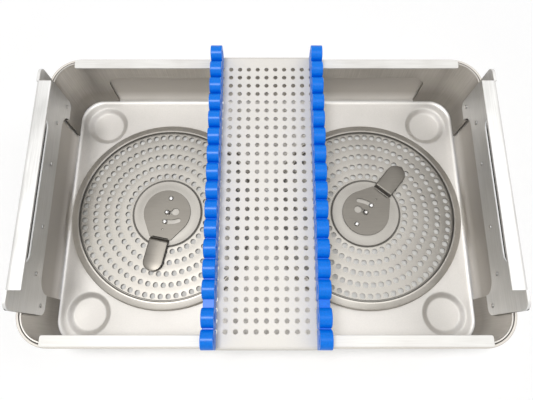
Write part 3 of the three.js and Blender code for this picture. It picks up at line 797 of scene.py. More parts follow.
def cut_instances(pattern: Pattern, points: Node) -> None:
    """Ends a perforation tree: a round punch at each point, cut out of the blank.

    Args:
        pattern: the tree.
        points: the node whose points are the holes' middles.
    """
    sides = {"Vertices": 20, "Radius": pattern.size("Hole radius"), "Depth": pattern.size("Punch length")}
    punch = pattern.add("GeometryNodeMeshCylinder", sides)
    copies = pattern.add(ON_POINTS, {"Points": points, "Instance": punch})
    tools = pattern.add("GeometryNodeRealizeInstances", {"Geometry": copies})
    inputs = {"Mesh 1": pattern.entry.outputs["Geometry"], "Mesh 2": tools}
    pattern.close(pattern.add("GeometryNodeMeshBoolean", inputs, operation="DIFFERENCE", solver="MANIFOLD"))


def grid_perforation() -> Pattern:
    """Builds the tree that punches a square grid of holes.

    Returns:
        The pattern.
    """
    made = Pattern("grid_perforation")
    inputs = {}
    for axis, name in (("X", "Column"), ("Y", "Row")):
        count = made.size(f"{name}s", COUNT)
        steps = made.add(MATHS, {0: count, 1: 1.0}, operation="SUBTRACT")
        inputs[f"Vertices {axis}"] = count
        pitch = made.size(f"{name} pitch")
        inputs[f"Size {axis}"] = made.add(MATHS, {0: steps, 1: pitch}, operation="MULTIPLY")
    grid = made.add("GeometryNodeMeshGrid", inputs)
    cut_instances(made, made.add(TRANSFORM, {"Geometry": grid, "Translation": made.size("Middle", VECTOR)}))
    return made


def ring_perforation(rings: int) -> Pattern:
    """Builds the tree that punches rings of holes about one middle.

    Args:
        rings: how many rings there are.

    Returns:
        The pattern.
    """
    made = Pattern(f"ring_perforation_{rings}")
    outer = made.size("Outer ring radius")
    step = made.size("Ring pitch")
    pitch = made.size("Hole pitch")
    circles = []
    for number in range(rings):
        inset = made.add(MATHS, {0: step, 1: float(number)}, operation="MULTIPLY")
        radius = made.add(MATHS, {0: outer, 1: inset}, operation="SUBTRACT")
        length = made.add(MATHS, {0: radius, 1: 2 * math.pi}, operation="MULTIPLY")
        share = made.add(MATHS, {0: length, 1: pitch}, operation="DIVIDE")
        count = made.add(MATHS, {0: share}, operation="ROUND")
        circles.append(made.add("GeometryNodeCurvePrimitiveCircle", {"Resolution": count, "Radius": radius}))
    rows = made.add("GeometryNodeJoinGeometry", {0: circles})
    cut_instances(made, made.add(TRANSFORM, {"Geometry": rows, "Translation": made.size("Middle", VECTOR)}))
    return made


def rivet_rows() -> Pattern:
    """Builds the tree that puts a domed rivet on each point of a mesh.

    Returns:
        The pattern.
    """
    made = Pattern("rivet_rows")
    radius = made.size("Head radius")
    ball = made.add("GeometryNodeMeshUVSphere", {"Segments": 20, "Rings": 12, "Radius": radius})
    spot = made.add(SPLIT, {0: made.add("GeometryNodeInputPosition")})
    share = made.add(MATHS, {0: made.size("Head height"), 1: radius}, operation="DIVIDE")
    above = made.add(MATHS, {0: spot.outputs[2], 1: 0.0}, operation="MAXIMUM")
    height = made.add(MATHS, {0: above, 1: share}, operation="MULTIPLY")
    place = made.add(COMBINE, {0: spot.outputs[0], 1: spot.outputs[1], 2: height})
    dome = made.add("GeometryNodeSetPosition", {"Geometry": ball, "Position": place})
    length = made.size("Shank length")
    sides = {"Vertices": 16, "Radius": made.size("Shank radius"), "Depth": length}
    shank = made.add("GeometryNodeMeshCylinder", sides)
    down = made.add(COMBINE, {2: made.add(MATHS, {0: length, 1: -0.5}, operation="MULTIPLY")})
    lowered = made.add(TRANSFORM, {"Geometry": shank, "Translation": down})
    rivet = made.add("GeometryNodeJoinGeometry", {0: [dome, lowered]})
    turned = made.add(TRANSFORM, {"Geometry": rivet, "Rotation": made.size("Turn", VECTOR)})
    made.close(made.add(ON_POINTS, {"Points": made.entry.outputs["Geometry"], "Instance": turned}))
    return made


def lobe_row() -> Pattern:
    """Builds the tree that sets copies of one lobe in a row along Y, with a wider gap before the last ones.

    Returns:
        The pattern.
    """
    made = Pattern("lobe_row")
    inputs = {"Count": made.size("Count", COUNT), "Start Location": made.size("Start", VECTOR)}
    inputs["Offset"] = made.add(COMBINE, {1: made.size("Pitch")})
    line = made.add("GeometryNodeMeshLine", inputs)
    late = {2: made.add("GeometryNodeInputIndex"), 3: made.size("Gap after", COUNT)}
    past = made.add("FunctionNodeCompare", late, data_type="INT", operation="GREATER_EQUAL")
    gap = made.add(COMBINE, {1: made.size("Wide gap")})
    points = made.add("GeometryNodeSetPosition", {"Geometry": line, "Selection": past, "Offset": gap})
    made.close(made.add(ON_POINTS, {"Points": points, "Instance": made.entry.outputs["Geometry"]}))
    return made


@dataclass(frozen=True)
class Dress:
    """What a finished piece is called, what it wears and what carries it."""

    name: str
    finish: Material
    slot: str
    body: str
    nodes: tuple[str, ...]
    sharp: float = 30.0

    def put_on(self, *meshes: Mesh) -> None:
        """Makes one piece of the meshes, shades it and lets it ride on its body.

        Args:
            meshes: closed meshes in their places.
        """
        work = bmesh.new()
        for mesh in meshes:
            work.from_mesh(mesh)
        made = bpy.data.meshes.new(self.name)
        work.to_mesh(made)
        work.free()
        made.materials.clear()
        made.materials.append(self.finish)
        for face in made.polygons:
            face.material_index = 0
            face.use_smooth = True
        made.set_sharp_from_angle(angle=math.radians(self.sharp))
        piece = held(made)
        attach(piece, self.body)
        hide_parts(*self.nodes)
        LOG.info("%s: %d faces on %s", self.name, len(made.polygons), self.body)


@dataclass(frozen=True)
class Riveting:
    """Domed rivets of one size, with their heads towards an end of the container."""

    pattern: Pattern
    finish: Material

    def row(self, places: list[Spot], turn: float, sizes: RivetSizes) -> Mesh:
        """Makes a rivet at each place.

        Args:
            places: the points under the heads.
            turn: the angle that turns the heads from straight up, about Y.
            sizes: the rivets' sizes.

        Returns:
            The rivets' mesh.
        """
        points = bpy.data.meshes.new("rivet_places")
        points.from_pydata([tuple(c * MM for c in place) for place in places], [], [])
        names = ("Head radius", "Head height", "Shank radius", "Shank length")
        return self.pattern.bake(points, self.finish, dict(zip(names, sizes)), {"Turn": (0, turn, 0)})


@dataclass
class Pan:
    """The deep-drawn pan: rim bead, walls, floor bend, four pressed feet and the vents under the filters."""

    length: float = 468.0
    width: float = 303.0
    depth: float = 88.2
    sheet: float = 1.5
    corner: float = 33.0
    bend: float = 6.5
    overhang: float = 1.0
    rim_height: float = 5.0
    foot_depth: float = 5.0
    foot_flat: float = 17.0
    foot_outer: float = 25.0
    foot_inset: float = 37.2
    vent_radius: float = 2.4
    vent_pitch: float = 30.0
    vent_inner: float = 38.0
    vent_outer: float = 72.0
    punch: float = 8.0

    @property
    def floor(self) -> float:
        """Height of the inner floor."""
        return self.foot_depth + self.sheet

    @property
    def rim(self) -> float:
        """Height of the rim."""
        return self.floor + self.depth

    @property
    def wall_inset(self) -> float:
        """From the rim's outside to the wall's inside."""
        return self.overhang + self.sheet

    def outline(self, inset: float) -> Loop:
        """Gives the plan outline, drawn in from the rim's outside."""
        return rounded_rectangle(self.length / 2 - inset, self.width / 2 - inset, self.corner - inset, 16)

    def bent(self, inset: float, height: float, radius: float) -> Loop:
        """Gives a skin's bend from the floor at a height to the wall at an inset."""
        angles = [math.radians(90 * i / 8) for i in range(9)]
        return [(inset + radius * (1 - math.sin(a)), height + radius * (1 - math.cos(a))) for a in angles]

    def levels(self) -> Loop:
        """Gives the wall's section as pairs of inset and height.

        Returns:
            The pairs, from the outer floor up the outside and down the inside to the inner floor.
        """
        low, rim, wall = self.rim - self.rim_height, self.rim, self.wall_inset
        return [
            *self.bent(self.overhang, self.foot_depth, self.bend + self.sheet),
            (self.overhang, low), (0.4, low + 0.4), (0.0, low + 1.0), (0.0, rim - 0.9), (0.15, rim - 0.3),
            (0.6, rim), (wall - 0.6, rim), (wall - 0.1, rim - 0.2), (wall, rim - 0.7),
            *self.bent(wall, self.floor, self.bend)[::-1],
        ]

    def feet(self) -> Loop:
        """Gives the middle of each foot."""
        x, y = self.length / 2 - self.foot_inset, self.width / 2 - self.foot_inset
        return [(sx * x, sy * y) for sx in (-1, 1) for sy in (-1, 1)]

    def shell(self) -> Shell:
        """Builds the pan with its feet pressed in.

        Returns:
            The closed shell.
        """
        made = Shell()
        pairs = self.levels()
        walls = made.stack([level_with(self.outline(inset), height) for inset, height in pairs])
        shares = [1 - i / 10 for i in range(11)]
        radii = [self.foot_flat + (self.foot_outer - self.foot_flat) * share for share in shares]
        falls = [self.foot_depth * (1 - eased(share)) for share in shares]
        for end, base in ((0, self.foot_depth), (-1, self.floor)):
            loops = [self.outline(pairs[end][0])]
            rings = [walls[end]]
            for middle in self.feet():
                circles = [circle(middle, radius, 48) for radius in radii]
                foot = made.stack([level_with(loop, base - fall) for loop, fall in zip(circles, falls)])
                made.faces.append(tuple(foot[-1]))
                loops.append(circles[0])
                rings.append(foot[0])
            made.cap(loops, rings)
        return made

    def build(self, ports: list[float], finish: Material) -> None:
        """Makes the pan and punches the vents under both filters.

        Args:
            ports: the two filters' places along x.
            finish: the pan's material.
        """
        mesh = self.shell().mesh("pan_blank")
        vents = ring_perforation(2)
        sizes = {
            "Outer ring radius": self.vent_outer,
            "Ring pitch": self.vent_outer - self.vent_inner,
            "Hole pitch": self.vent_pitch,
            "Hole radius": self.vent_radius,
            "Punch length": self.punch,
        }
        for x in ports:
            mesh = vents.bake(mesh, finish, {**sizes, "Middle": (x, 0, self.foot_depth)})
        Dress("drawn_pan", finish, "pan_steel", "base", ("pan",)).put_on(mesh)


@dataclass
class FilterPort:
    """One filter port: post, paper, gasket, perforated retention plate, and the lever that locks it."""

    side: str
    x: float
    heading: float
    floor: float
    radius: float = 111.5
    sheet: float = 0.8
    stand: float = 1.0
    hub: float = 38.6
    bore: float = 3.7
    hub_height: float = 6.6
    field_height: float = 5.2
    crown_height: float = 7.2
    slope: float = 7.5
    crown_width: float = 2.0
    rings: int = 5
    ring_inset: float = 15.5
    ring_pitch: float = 12.5
    hole_pitch: float = 8.8
    hole_radius: float = 3.1
    punch: float = 12.0
    paper_bore: float = 7.2
    paper_radius: float = 107.0
    paper_sheet: float = 0.4
    lever_sheet: float = 1.2
    disc: float = 27.0
    fold: float = 31.0
    fold_half: float = 12.5
    ball: float = 3.1
    stem: float = 1.7
    tab_end: float = 70.0
    tab_half: float = 11.0
    tab_rise: float = 4.0
    swing: float = 32.0
    pivot: float = 17.5
    pin: float = 11.0
    post_slot: float = 2.0
    pin_slot: float = 2.5
    eye: float = 4.2
    gap: float = 0.3

    @property
    def place(self) -> Matrix:
        """The port's own frame, turned the way its lever points."""
        turn = Matrix.Rotation(math.radians(self.heading), 4, "Z")
        return Matrix.Translation((self.x, 0, self.floor)) @ turn

    @property
    def lever_low(self) -> float:
        """Height of the lever's underside."""
        return self.hub_height + self.gap

    @property
    def lever_high(self) -> float:
        """Height of the lever's top."""
        return self.lever_low + self.lever_sheet

    def post(self) -> Shell:
        """Makes the centre post with its ball head.

        Returns:
            The closed shell.
        """
        neck = self.hub_height - self.sheet
        head = self.lever_high + self.gap
        dome = arc((0, head), self.ball, 0, 90, 10)[:-1]
        foot = [(0, 0), (5.7, 0), (6, 0.3), (6, 0.8), (5.7, 1), (2.6, 1), (2.6, neck), (self.stem, neck)]
        return revolved([*foot, (self.stem, head), *dome, (0, head + self.ball)], 32)

    def plate(self) -> Shell:
        """Makes the retention plate without its holes.

        Returns:
            The pressed sheet: sloped rim, flat crown, grooved and perforated field and raised hub.
        """
        sheet, low, rim, hub = self.sheet, self.stand, self.radius, self.hub
        crown, field, top = self.crown_height, self.field_height, self.hub_height
        outer, inner = rim - self.slope, rim - self.slope - self.crown_width
        upper = [
            (rim, low), (rim, low + sheet - 0.2), (rim - 0.3, low + sheet), (rim - 0.5, crown - 2.5),
            (rim - 1.2, crown - 1.5), (rim - 3.0, crown - 0.9), (outer + 1.2, crown - 0.3), (outer, crown),
            (inner + 0.5, crown), (inner, crown - 0.5), (inner - 0.5, field - 0.5),
            (inner - 1.3, field - 0.5), (inner - 2.0, field), (hub + 2.2, field), (hub + 1.7, field - 0.4),
            (hub + 1.1, field - 0.4), (hub + 0.3, top - 0.3), (hub - 0.4, top), (self.bore, top),
        ]
        under = [
            (self.bore, top - sheet), (hub - 0.6, top - sheet), (hub + 0.5, field - sheet),
            (inner - 2.3, field - sheet), (inner - 1.5, field - sheet - 0.5),
            (inner - 0.2, field - sheet - 0.5), (inner + sheet, crown - sheet), (outer - 0.2, crown - sheet),
            (rim - 3.2, crown - 0.9 - sheet), (rim - sheet - 0.9, crown - 1.7 - sheet), (rim - sheet, low),
        ]
        return revolved(upper + under, 128)

    def swung(self, distance: float, angle: float) -> Span:
        """Gives the point at a distance from the lever's pivot and at an angle about it."""
        return arc((-self.pivot, 0.0), distance, angle, angle, 1)[0]

    def slot(self, distance: float, half_width: float) -> Loop:
        """Makes a curved slot about the lever's pivot.

        Args:
            distance: the slot's near end, from the post.
            half_width: half the slot's width.

        Returns:
            The slot's outline.
        """
        pivot = (-self.pivot, 0.0)
        radius = distance + self.pivot
        return [
            *arc(pivot, radius + half_width, 0, self.swing, 12),
            *arc(self.swung(radius, self.swing), half_width, self.swing, self.swing + 180, 8)[1:-1],
            *arc(pivot, radius - half_width, self.swing, 0, 12),
            *arc((distance, 0), half_width, 180, 360, 8)[1:-1],
        ]

    def keyhole(self) -> Loop:
        """Makes the post's slot with the wide end that frees the plate.

        Returns:
            The outline, sorted about a point from which all of it can be seen.
        """
        slot = self.slot(0, self.post_slot)
        wide = self.swung(self.pivot, self.swing)
        kept = [p for p in slot if math.dist(p, wide) > self.eye]
        ahead = [p for p in circle(wide, self.eye, 28) if min(math.dist(p, q) for q in slot) > 0.9]
        core = self.swung(self.pivot, self.swing * 0.7)
        return sorted(kept + ahead, key=lambda p: math.atan2(p[1] - core[1], p[0] - core[0]))

    def tab(self) -> Shell:
        """Makes the lever's tab: it rises from the fold and ends round, with rolled edges.

        Returns:
            The closed shell.
        """
        # The ramp rises as far as it runs
        start, width = self.tab_end - self.tab_half, self.tab_half
        stations = [29.8, 30.6, *[self.fold + self.tab_rise * i / 8 for i in range(9)], 36.2]
        stations += [start + width * math.sin(math.radians(90 * i / 14)) for i in range(14)]
        stations.append(self.tab_end - 0.02)
        sections = []
        for u in stations:
            share = min(max((u - self.fold) / self.tab_rise, 0), 1)
            low = self.lever_low + self.tab_rise * eased(share)
            high = low + self.lever_sheet
            past = max(u - start, 0)
            w = math.sqrt(max(width * width - past * past, 0.3))
            chamfer = min(0.35, w / 3)
            roll = min(1.8, w / 2)
            edge = [(w - chamfer, low), (w, low + chamfer), (w, high - 0.75), (w - 0.3 * roll, high - 0.25)]
            edge.append((w - roll, high))
            ring = edge + [(-v, z) for v, z in edge[::-1]]
            sections.append([(u, v, z) for v, z in ring[::-1]])
        return lofted(sections)

    def lever(self) -> Shell:
        """Makes the lever: a drop-shaped disc with its slots, a fold and a raised round tab.

        Returns:
            The closed shells of disc and tab.
        """
        half, fold = self.fold_half, self.fold
        # The disc runs into the fold along its tangents
        spread = math.degrees(math.atan2(half, fold) + math.acos(self.disc / math.hypot(fold, half)))
        outline = [(fold, -half), (fold, half), *arc((0, 0), self.disc, spread, 360 - spread, 60)]
        dimple = circle((20.4, 0), 0.9, 12)
        pivot = circle((-self.pivot, 0), self.post_slot, 20)
        holes = [self.keyhole(), self.slot(self.pin, self.pin_slot), pivot, dimple]
        return slab([outline, *holes], self.lever_low, self.lever_high).joined(self.tab())

    def rivet(self) -> Shell:
        """Makes the rivet that stands in the hub and holds the lever down.

        Returns:
            The closed shell.
        """
        tail = self.hub_height - self.sheet - self.gap
        head = self.lever_high + self.gap
        angles = [math.radians(a) for a in range(0, 90, 15)]
        crown = [(2.9 * math.cos(a), head + 1.7 * math.sin(a)) for a in angles]
        low = [(0, tail - 0.7), (2.5, tail - 0.7), (2.7, tail - 0.5), (2.7, tail)]
        return revolved([*low, (self.stem, tail), (self.stem, head), *crown, (0, head + 1.7)], 28)

    def spun(self) -> Material:
        """Builds the plate's finish: dull satin with faint rings, painted shade in its grooves and a painted
        highlight on its crown and outer slope.

        Returns:
            The new material.
        """
        # Painted light and shade by distance from the port's middle: the hub a little darker than the field,
        # painted shade in the grooves at the hub's foot and inside the crown, and a painted highlight over
        # the crown and the outer slope
        painted_light_bands = (
            (0.0, "#d2d2d2"), (self.hub + 0.6, "#d2d2d2"),
            (self.hub + 1.0, "#8c8c8c"), (self.hub + 1.8, "#8c8c8c"),
            (self.hub + 2.3, "#dedede"), (self.radius - 11.0, "#dedede"),
            (self.radius - 10.2, "#989898"), (self.radius - 9.4, "#989898"),
            (self.radius - 8.8, "#ffffff"), (self.radius, "#ffffff"),
        )
        return Sheet(
            f"pressed_plate_steel_{self.side}", "#cbc7bf", "#b6b1aa", 0.43, 0.53, grain=1.0, depth=0.05,
            centre=(self.x, 0.0), wave=self.ring_pitch, painted_light_bands=painted_light_bands,
        ).material()

    def dress(self, name: str, shell: Shell, finish: Material, slot: str, body: str) -> None:
        """Places a shell in the port and dresses it in place of its node.

        Args:
            name: the node's name without its side.
            shell: the shell, in the port's own frame.
            finish: its material.
            slot: the name of its material's slot, which nothing uses.
            body: the body that carries it.
        """
        node = f"{name}_{self.side}"
        mesh = shell.moved(self.place).mesh(node)
        Dress(f"fine_{node}", finish, slot, body, (node,)).put_on(mesh)

    def build(self, finishes: dict[str, Material]) -> None:
        """Makes every piece of the port.

        Args:
            finishes: the shared materials by name.
        """
        carrier = f"retention_{self.side}"
        self.dress("centre_post", self.post(), finishes["rivet"], "rivet_steel", "base")
        near, far, low, high = self.paper_bore, self.paper_radius, self.gap, self.gap + self.paper_sheet
        paper = revolved([(near, low), (far, low), (far, high), (near, high)])
        self.dress("filter_paper", paper, finishes["paper"], "paper", "base")
        seal = [(103.6, 1.0), (106.8, 1.0), (106.8, 3.6), (104.4, 5.5), (103.6, 5.5)]
        self.dress("filter_gasket", revolved(seal), finishes["gasket"], "gasket", carrier)
        spun = self.spun()
        sizes = {
            "Outer ring radius": self.radius - self.ring_inset,
            "Ring pitch": self.ring_pitch,
            "Hole pitch": self.hole_pitch,
            "Hole radius": self.hole_radius,
            "Punch length": self.punch,
            "Middle": (0, 0, self.field_height),
        }
        punched = ring_perforation(self.rings).bake(self.plate().mesh("plate_blank"), spun, sizes)
        punched.transform(Matrix.Scale(MM, 4) @ self.place @ Matrix.Scale(1 / MM, 4))
        node = f"retention_plate_{self.side}"
        Dress(f"fine_{node}", spun, "plate_steel", carrier, (node,), 12).put_on(punched)
        self.dress("lock_lever", self.lever(), finishes["lever"], "lever_steel", f"lever_{self.side}")
        for name, along in (("lever_pivot", -self.pivot), ("lever_guide_pin", self.pin)):
            shell = self.rivet().moved(Matrix.Translation((along, 0, 0)))
            self.dress(name, shell, finishes["rivet"], "rivet_steel", carrier)


@dataclass
class InsertFrame:
    """The lift-out insert: two bent straps with flanges, two side plates and their rivets."""

    pan: Pan
    sheet: float = 1.2
    wall_gap: float = 1.5
    ease: float = 1.2
    gap: float = 0.3
    window_corner: float = 16.0
    long_window_inset: float = 50.0
    long_window_height: float = 58.5
    end_window_inset: float = 52.5
    end_window_height: float = 63.0
    flange_inset: float = 25.5
    flange_width: float = 10.5
    side_sheet: float = 3.0
    side_height: float = 126.0
    side_low: float = 46.0
    side_corner: float = 8.0
    top_bend: float = 4.0
    top_depth: float = 12.0
    top_relief: float = 16.8
    hand_half: float = 65.0
    hand_radius: float = 10.5
    hand_low: float = 94.0
    flange_over: float = 1.0
    flange_corner: float = 2.0
    weld: float = 0.4
    overrun: float = 5.0
    rivet_sizes: RivetSizes = (2.3, 1.1, 1.4, 4.8)

    def __post_init__(self) -> None:
        """Works out the sizes that follow from the pan."""
        inset = self.pan.wall_inset + self.wall_gap
        self.out_x = self.pan.length / 2 - inset
        self.out_y = self.pan.width / 2 - inset
        self.corner = self.pan.corner - inset - self.ease
        reach = self.pan.bend - (self.wall_gap - self.ease * (math.sqrt(2) - 1))
        self.leg_low = self.pan.floor + self.pan.bend - math.sqrt(self.pan.bend**2 - reach**2) + self.gap
        self.side_out = self.out_x - self.sheet - self.gap
        self.side_in = self.side_out - self.side_sheet
        self.side_half = self.out_y - self.corner

    def window(self, half: float, height: float, reach: Span, facing: Facing) -> tuple[Mesh, str]:
        """Makes the tool that cuts a window up from the floor.

        Args:
            half: half the window's width.
            height: its height over the floor.
            reach: where the tool starts and ends.
            facing: the way that it cuts.

        Returns:
            The tool's mesh, and the word that says it cuts.
        """
        loop = archway(half, 0, self.pan.floor + height, self.window_corner)
        return slab([loop], *reach, facing, 0).mesh("window"), "DIFFERENCE"

    def end_window(self, low: float, high: float) -> tuple[Mesh, str]:
        """Makes the tool for the windows in the ends."""
        half = self.pan.width / 2 - self.end_window_inset
        return self.window(half, self.end_window_height, (low, high), Facing.ENDWAYS)

    def strap(self, way: int) -> Mesh:
        """Makes the bent strap of one half, with its windows cut.

        Args:
            way: +1 for the rear half, -1 for the front half.

        Returns:
            The strap's mesh.
        """
        outline = []
        for shift in (0.0, self.sheet):
            x, y, radius = self.out_x - shift, self.out_y - shift, self.corner - shift
            right = arc((x - radius, y - radius), radius, 0, 90, 14)
            left = arc((-x + radius, y - radius), radius, 90, 180, 14)
            points = [(x, self.gap), *right, *left, (-x, self.gap)]
            outline += points if shift == 0 else points[::-1]
        outline = [(x, way * y) for x, y in outline]
        blank = slab([outline], self.leg_low, self.pan.rim, bevel=0).mesh("strap")
        half = self.pan.length / 2 - self.long_window_inset
        reach = (-self.pan.width, self.pan.width)
        long_window = self.window(half, self.long_window_height, reach, Facing.SIDEWAYS)
        return carved(blank, [long_window, self.end_window(-self.pan.length, self.pan.length)])

    def flange(self, way: int) -> Shell:
        """Makes the flange over the pan's rim and the short riser that carries it.

        Args:
            way: +1 for the rear half, -1 for the front half.

        Returns:
            The closed shells of both.
        """
        low = self.pan.rim + self.gap
        half_width = self.flange_width / 2
        middle = way * (self.pan.width / 2 - self.pan.wall_inset + self.flange_over - half_width)
        half = self.pan.length / 2 - self.flange_inset
        outline = rounded_rectangle(half, half_width, self.flange_corner, 6)
        top = slab([[(x, y + middle) for x, y in outline]], low, low + self.sheet, bevel=0.3)
        near, far = sorted((way * (self.out_y - self.sheet), way * self.out_y))
        riser = oblong(self.out_x - self.corner, near, far)
        # It starts a little under the rim, so that no two faces lie in one plane
        return top.joined(slab([riser], self.pan.rim - 0.05, low + self.weld, bevel=0))

    def side_plate(self, sign: int) -> Mesh:
        """Makes one side plate with its hand slot, window and turned-in top.

        Args:
            sign: +1 for the right-hand end, -1 for the left-hand end.

        Returns:
            The plate's mesh.
        """
        top = self.pan.floor + self.side_height
        low = self.pan.floor + self.side_low
        middle, half = (top + low) / 2, (top - low) / 2
        loop = [(y, z + middle) for y, z in rounded_rectangle(self.side_half, half, self.side_corner)]
        height = self.pan.floor + self.hand_low + self.hand_radius
        hand = arc((self.hand_half, height), self.hand_radius, -90, 90, 16)
        hand += arc((-self.hand_half, height), self.hand_radius, 90, 270, 16)
        blank = slab([loop, hand], self.side_in, self.side_out, Facing.ENDWAYS, 0.35).mesh("side_blank")
        half = self.side_half - self.top_relief
        bend, thick = self.top_bend, self.side_sheet
        through = (self.side_in - self.overrun, self.side_out + self.overrun)
        relief = oblong(half, top - bend, top + bend + self.overrun)
        notch = slab([relief], *through, Facing.ENDWAYS, 0).mesh("relief")
        edge = self.side_in - self.top_depth
        section = [
            (self.side_in, top - bend),
            (self.side_out, top - bend),
            *arc((self.side_out - bend, top - bend), bend, 0, 90, 8)[1:],
            (edge + 0.4, top), (edge, top - 0.4), (edge, top - thick + 0.4), (edge + 0.4, top - thick),
            *arc((self.side_in - 1, top - bend), 1, 90, 0, 4)[:-1],
        ]
        turned = slab([section], -half, half, Facing.SIDEWAYS, 0).mesh("turned_top")
        tools = [self.end_window(*through), (notch, "DIFFERENCE"), (turned, "UNION")]
        return mirrored(carved(blank, tools), sign)

    def rivet_places(self, sign: int) -> list[Spot]:
        """Gives the places where one side plate is riveted to the straps.

        Args:
            sign: +1 for the right-hand end, -1 for the left-hand end.

        Returns:
            The places, three on the front half and three on the rear half.
        """
        x = sign * (self.side_in - self.gap)
        spots = ((self.side_half - 9.5, 57), (self.side_half - 38.5, 75.5), (34, 75.5))
        return [(x, side * y, self.pan.floor + z) for side in (-1, 1) for y, z in spots]

    def build(self, finishes: dict[str, Material], riveting: Riveting) -> None:
        """Makes every piece of the insert.

        Args:
            finishes: the shared materials by name.
            riveting: what puts a rivet on each place.
        """
        for name, way in (("frame_rear", 1), ("frame_front", -1)):
            strap, flange = f"bent_{name}", f"flange_of_{name}"
            Dress(strap, finishes["strap"], "frame_steel", "insert", (name,)).put_on(self.strap(way))
            mesh = self.flange(way).mesh(name)
            Dress(flange, finishes["flange"], "frame_steel", "insert", (name,), 25).put_on(mesh)
        for side, sign in ENDS:
            node = f"side_plate_{side}"
            mesh = self.side_plate(sign)
            Dress(f"ground_{node}", finishes["side"], "side_steel", "insert", (node,)).put_on(mesh)
            heads = riveting.row(self.rivet_places(sign), -sign * math.pi / 2, self.rivet_sizes)
            nodes = tuple(f"side_rivet_{side}_{i}" for i in range(1, 7))
            Dress(f"side_rivets_{side}", riveting.finish, "rivet_steel", "insert", nodes, 50).put_on(heads)


@dataclass
class Bridge:
    """The sliding bridge: a perforated deck with lips and hooks, and two silicone strips."""

    deck_low: float
    hook_in: float
    sheet: float = 1.2
    half_width: float = 52.6
    bend: float = 2.8
    hook_drop: float = 6.0
    lip_height: float = 8.0
    columns: int = 11
    rows: int = 29
    column_pitch: float = 9.5
    row_pitch: float = 9.77
    hole_radius: float = 2.35
    punch: float = 8.0
    seam: float = 1.6
    lip_inset: float = 3.0
    lobe_radius: float = 8.9
    eye_width: float = 4.2
    eye_height: float = 3.0
    lobes: int = 16
    wide_gap: float = 6.2
    strip_width: float = 11.6
    strip_top: float = 26.5
    gap: float = 0.3
    web_inset: float = 0.7

    @property
    def deck_top(self) -> float:
        """Height of the deck's upper face."""
        return self.deck_low + self.sheet

    @property
    def hook_out(self) -> float:
        """The hooks' outer face."""
        return self.hook_in + self.sheet

    @property
    def lobe_step(self) -> float:
        """From one lobe to the next."""
        return (2 * (self.hook_out - self.lobe_radius) - self.wide_gap) / (self.lobes - 1)

    def deck(self, finish: Material) -> None:
        """Makes the perforated plate with its lips and hooks.

        Args:
            finish: the deck's material.
        """
        end = self.hook_in - self.seam
        flat = oblong(self.half_width, -end, end)
        blank = slab([flat], self.deck_low, self.deck_top, bevel=0.15).mesh("deck_blank")
        sizes = {
            "Column pitch": self.column_pitch,
            "Row pitch": self.row_pitch,
            "Hole radius": self.hole_radius,
            "Punch length": self.punch,
            "Middle": (0, 0, self.deck_low),
        }
        parts = [grid_perforation().bake(blank, finish, sizes, {"Columns": self.columns, "Rows": self.rows})]
        centre = (self.hook_out - self.bend, self.deck_top - self.bend)
        tip = self.deck_low - self.hook_drop
        section = [
            *arc(centre, self.bend, 90, 0, 8),
            (self.hook_out, tip + 0.3),
            (self.hook_out - 0.3, tip),
            (self.hook_in, tip),
            *arc(centre, self.bend - self.sheet, 0, 90, 8),
        ]
        half = self.hook_in - self.lip_inset
        lip = oblong(half, self.deck_top - self.sheet / 2, self.deck_top + self.lip_height)
        for way in (-1, 1):
            loop = [(way * y, z) for y, z in section]
            parts.append(slab([loop], -self.half_width, self.half_width, Facing.ENDWAYS, 0.1).mesh("hook"))
        for sign in (-1, 1):
            low, high = sorted((sign * self.half_width, sign * (self.half_width - self.sheet)))
            parts.append(slab([lip], low, high, Facing.ENDWAYS, 0.15).mesh("lip"))
        Dress("perforated_deck", finish, "bridge_steel", "bridge", ("bridge_plate",)).put_on(*parts)

    def strip(self, side: str, sign: int, row: Pattern, finish: Material) -> None:
        """Makes one silicone strip.

        Args:
            side: the strip's side by name.
            sign: +1 for the right-hand strip, -1 for the left-hand one.
            row: the pattern that sets the lobes in their row.
            finish: the silicone.
        """
        radius = self.lobe_radius
        base = self.deck_top + self.gap
        middle = base + self.strip_top - radius
        centre = sign * (self.half_width - self.sheet / 2)
        low, high = centre - self.strip_width / 2, centre + self.strip_width / 2
        body = [*arc((0, middle), radius, 0, 180, 32), (-radius, base), (radius, base)]
        eye = [(self.eye_width * y, middle + self.eye_height * z) for y, z in circle((0, 0), 1, 28)]
        lobe = slab([body, eye], low, high, Facing.ENDWAYS, 0.45).mesh("lobe")
        # The row starts at the rear and runs to the front
        span = self.hook_out - radius
        sizes = {"Pitch": -self.lobe_step, "Start": (0, span, 0), "Wide gap": -self.wide_gap}
        made = row.bake(lobe, finish, sizes, {"Count": self.lobes, "Gap after": self.lobes - 2})
        web = oblong(span, base + 0.2, middle)
        bar = slab([web], low + self.web_inset, high - self.web_inset, Facing.ENDWAYS, 0.3).mesh("web")
        node = f"bridge_strip_{side}"
        Dress(f"lobed_strip_{side}", finish, "silicone", "bridge", (node,), 40).put_on(made, bar)


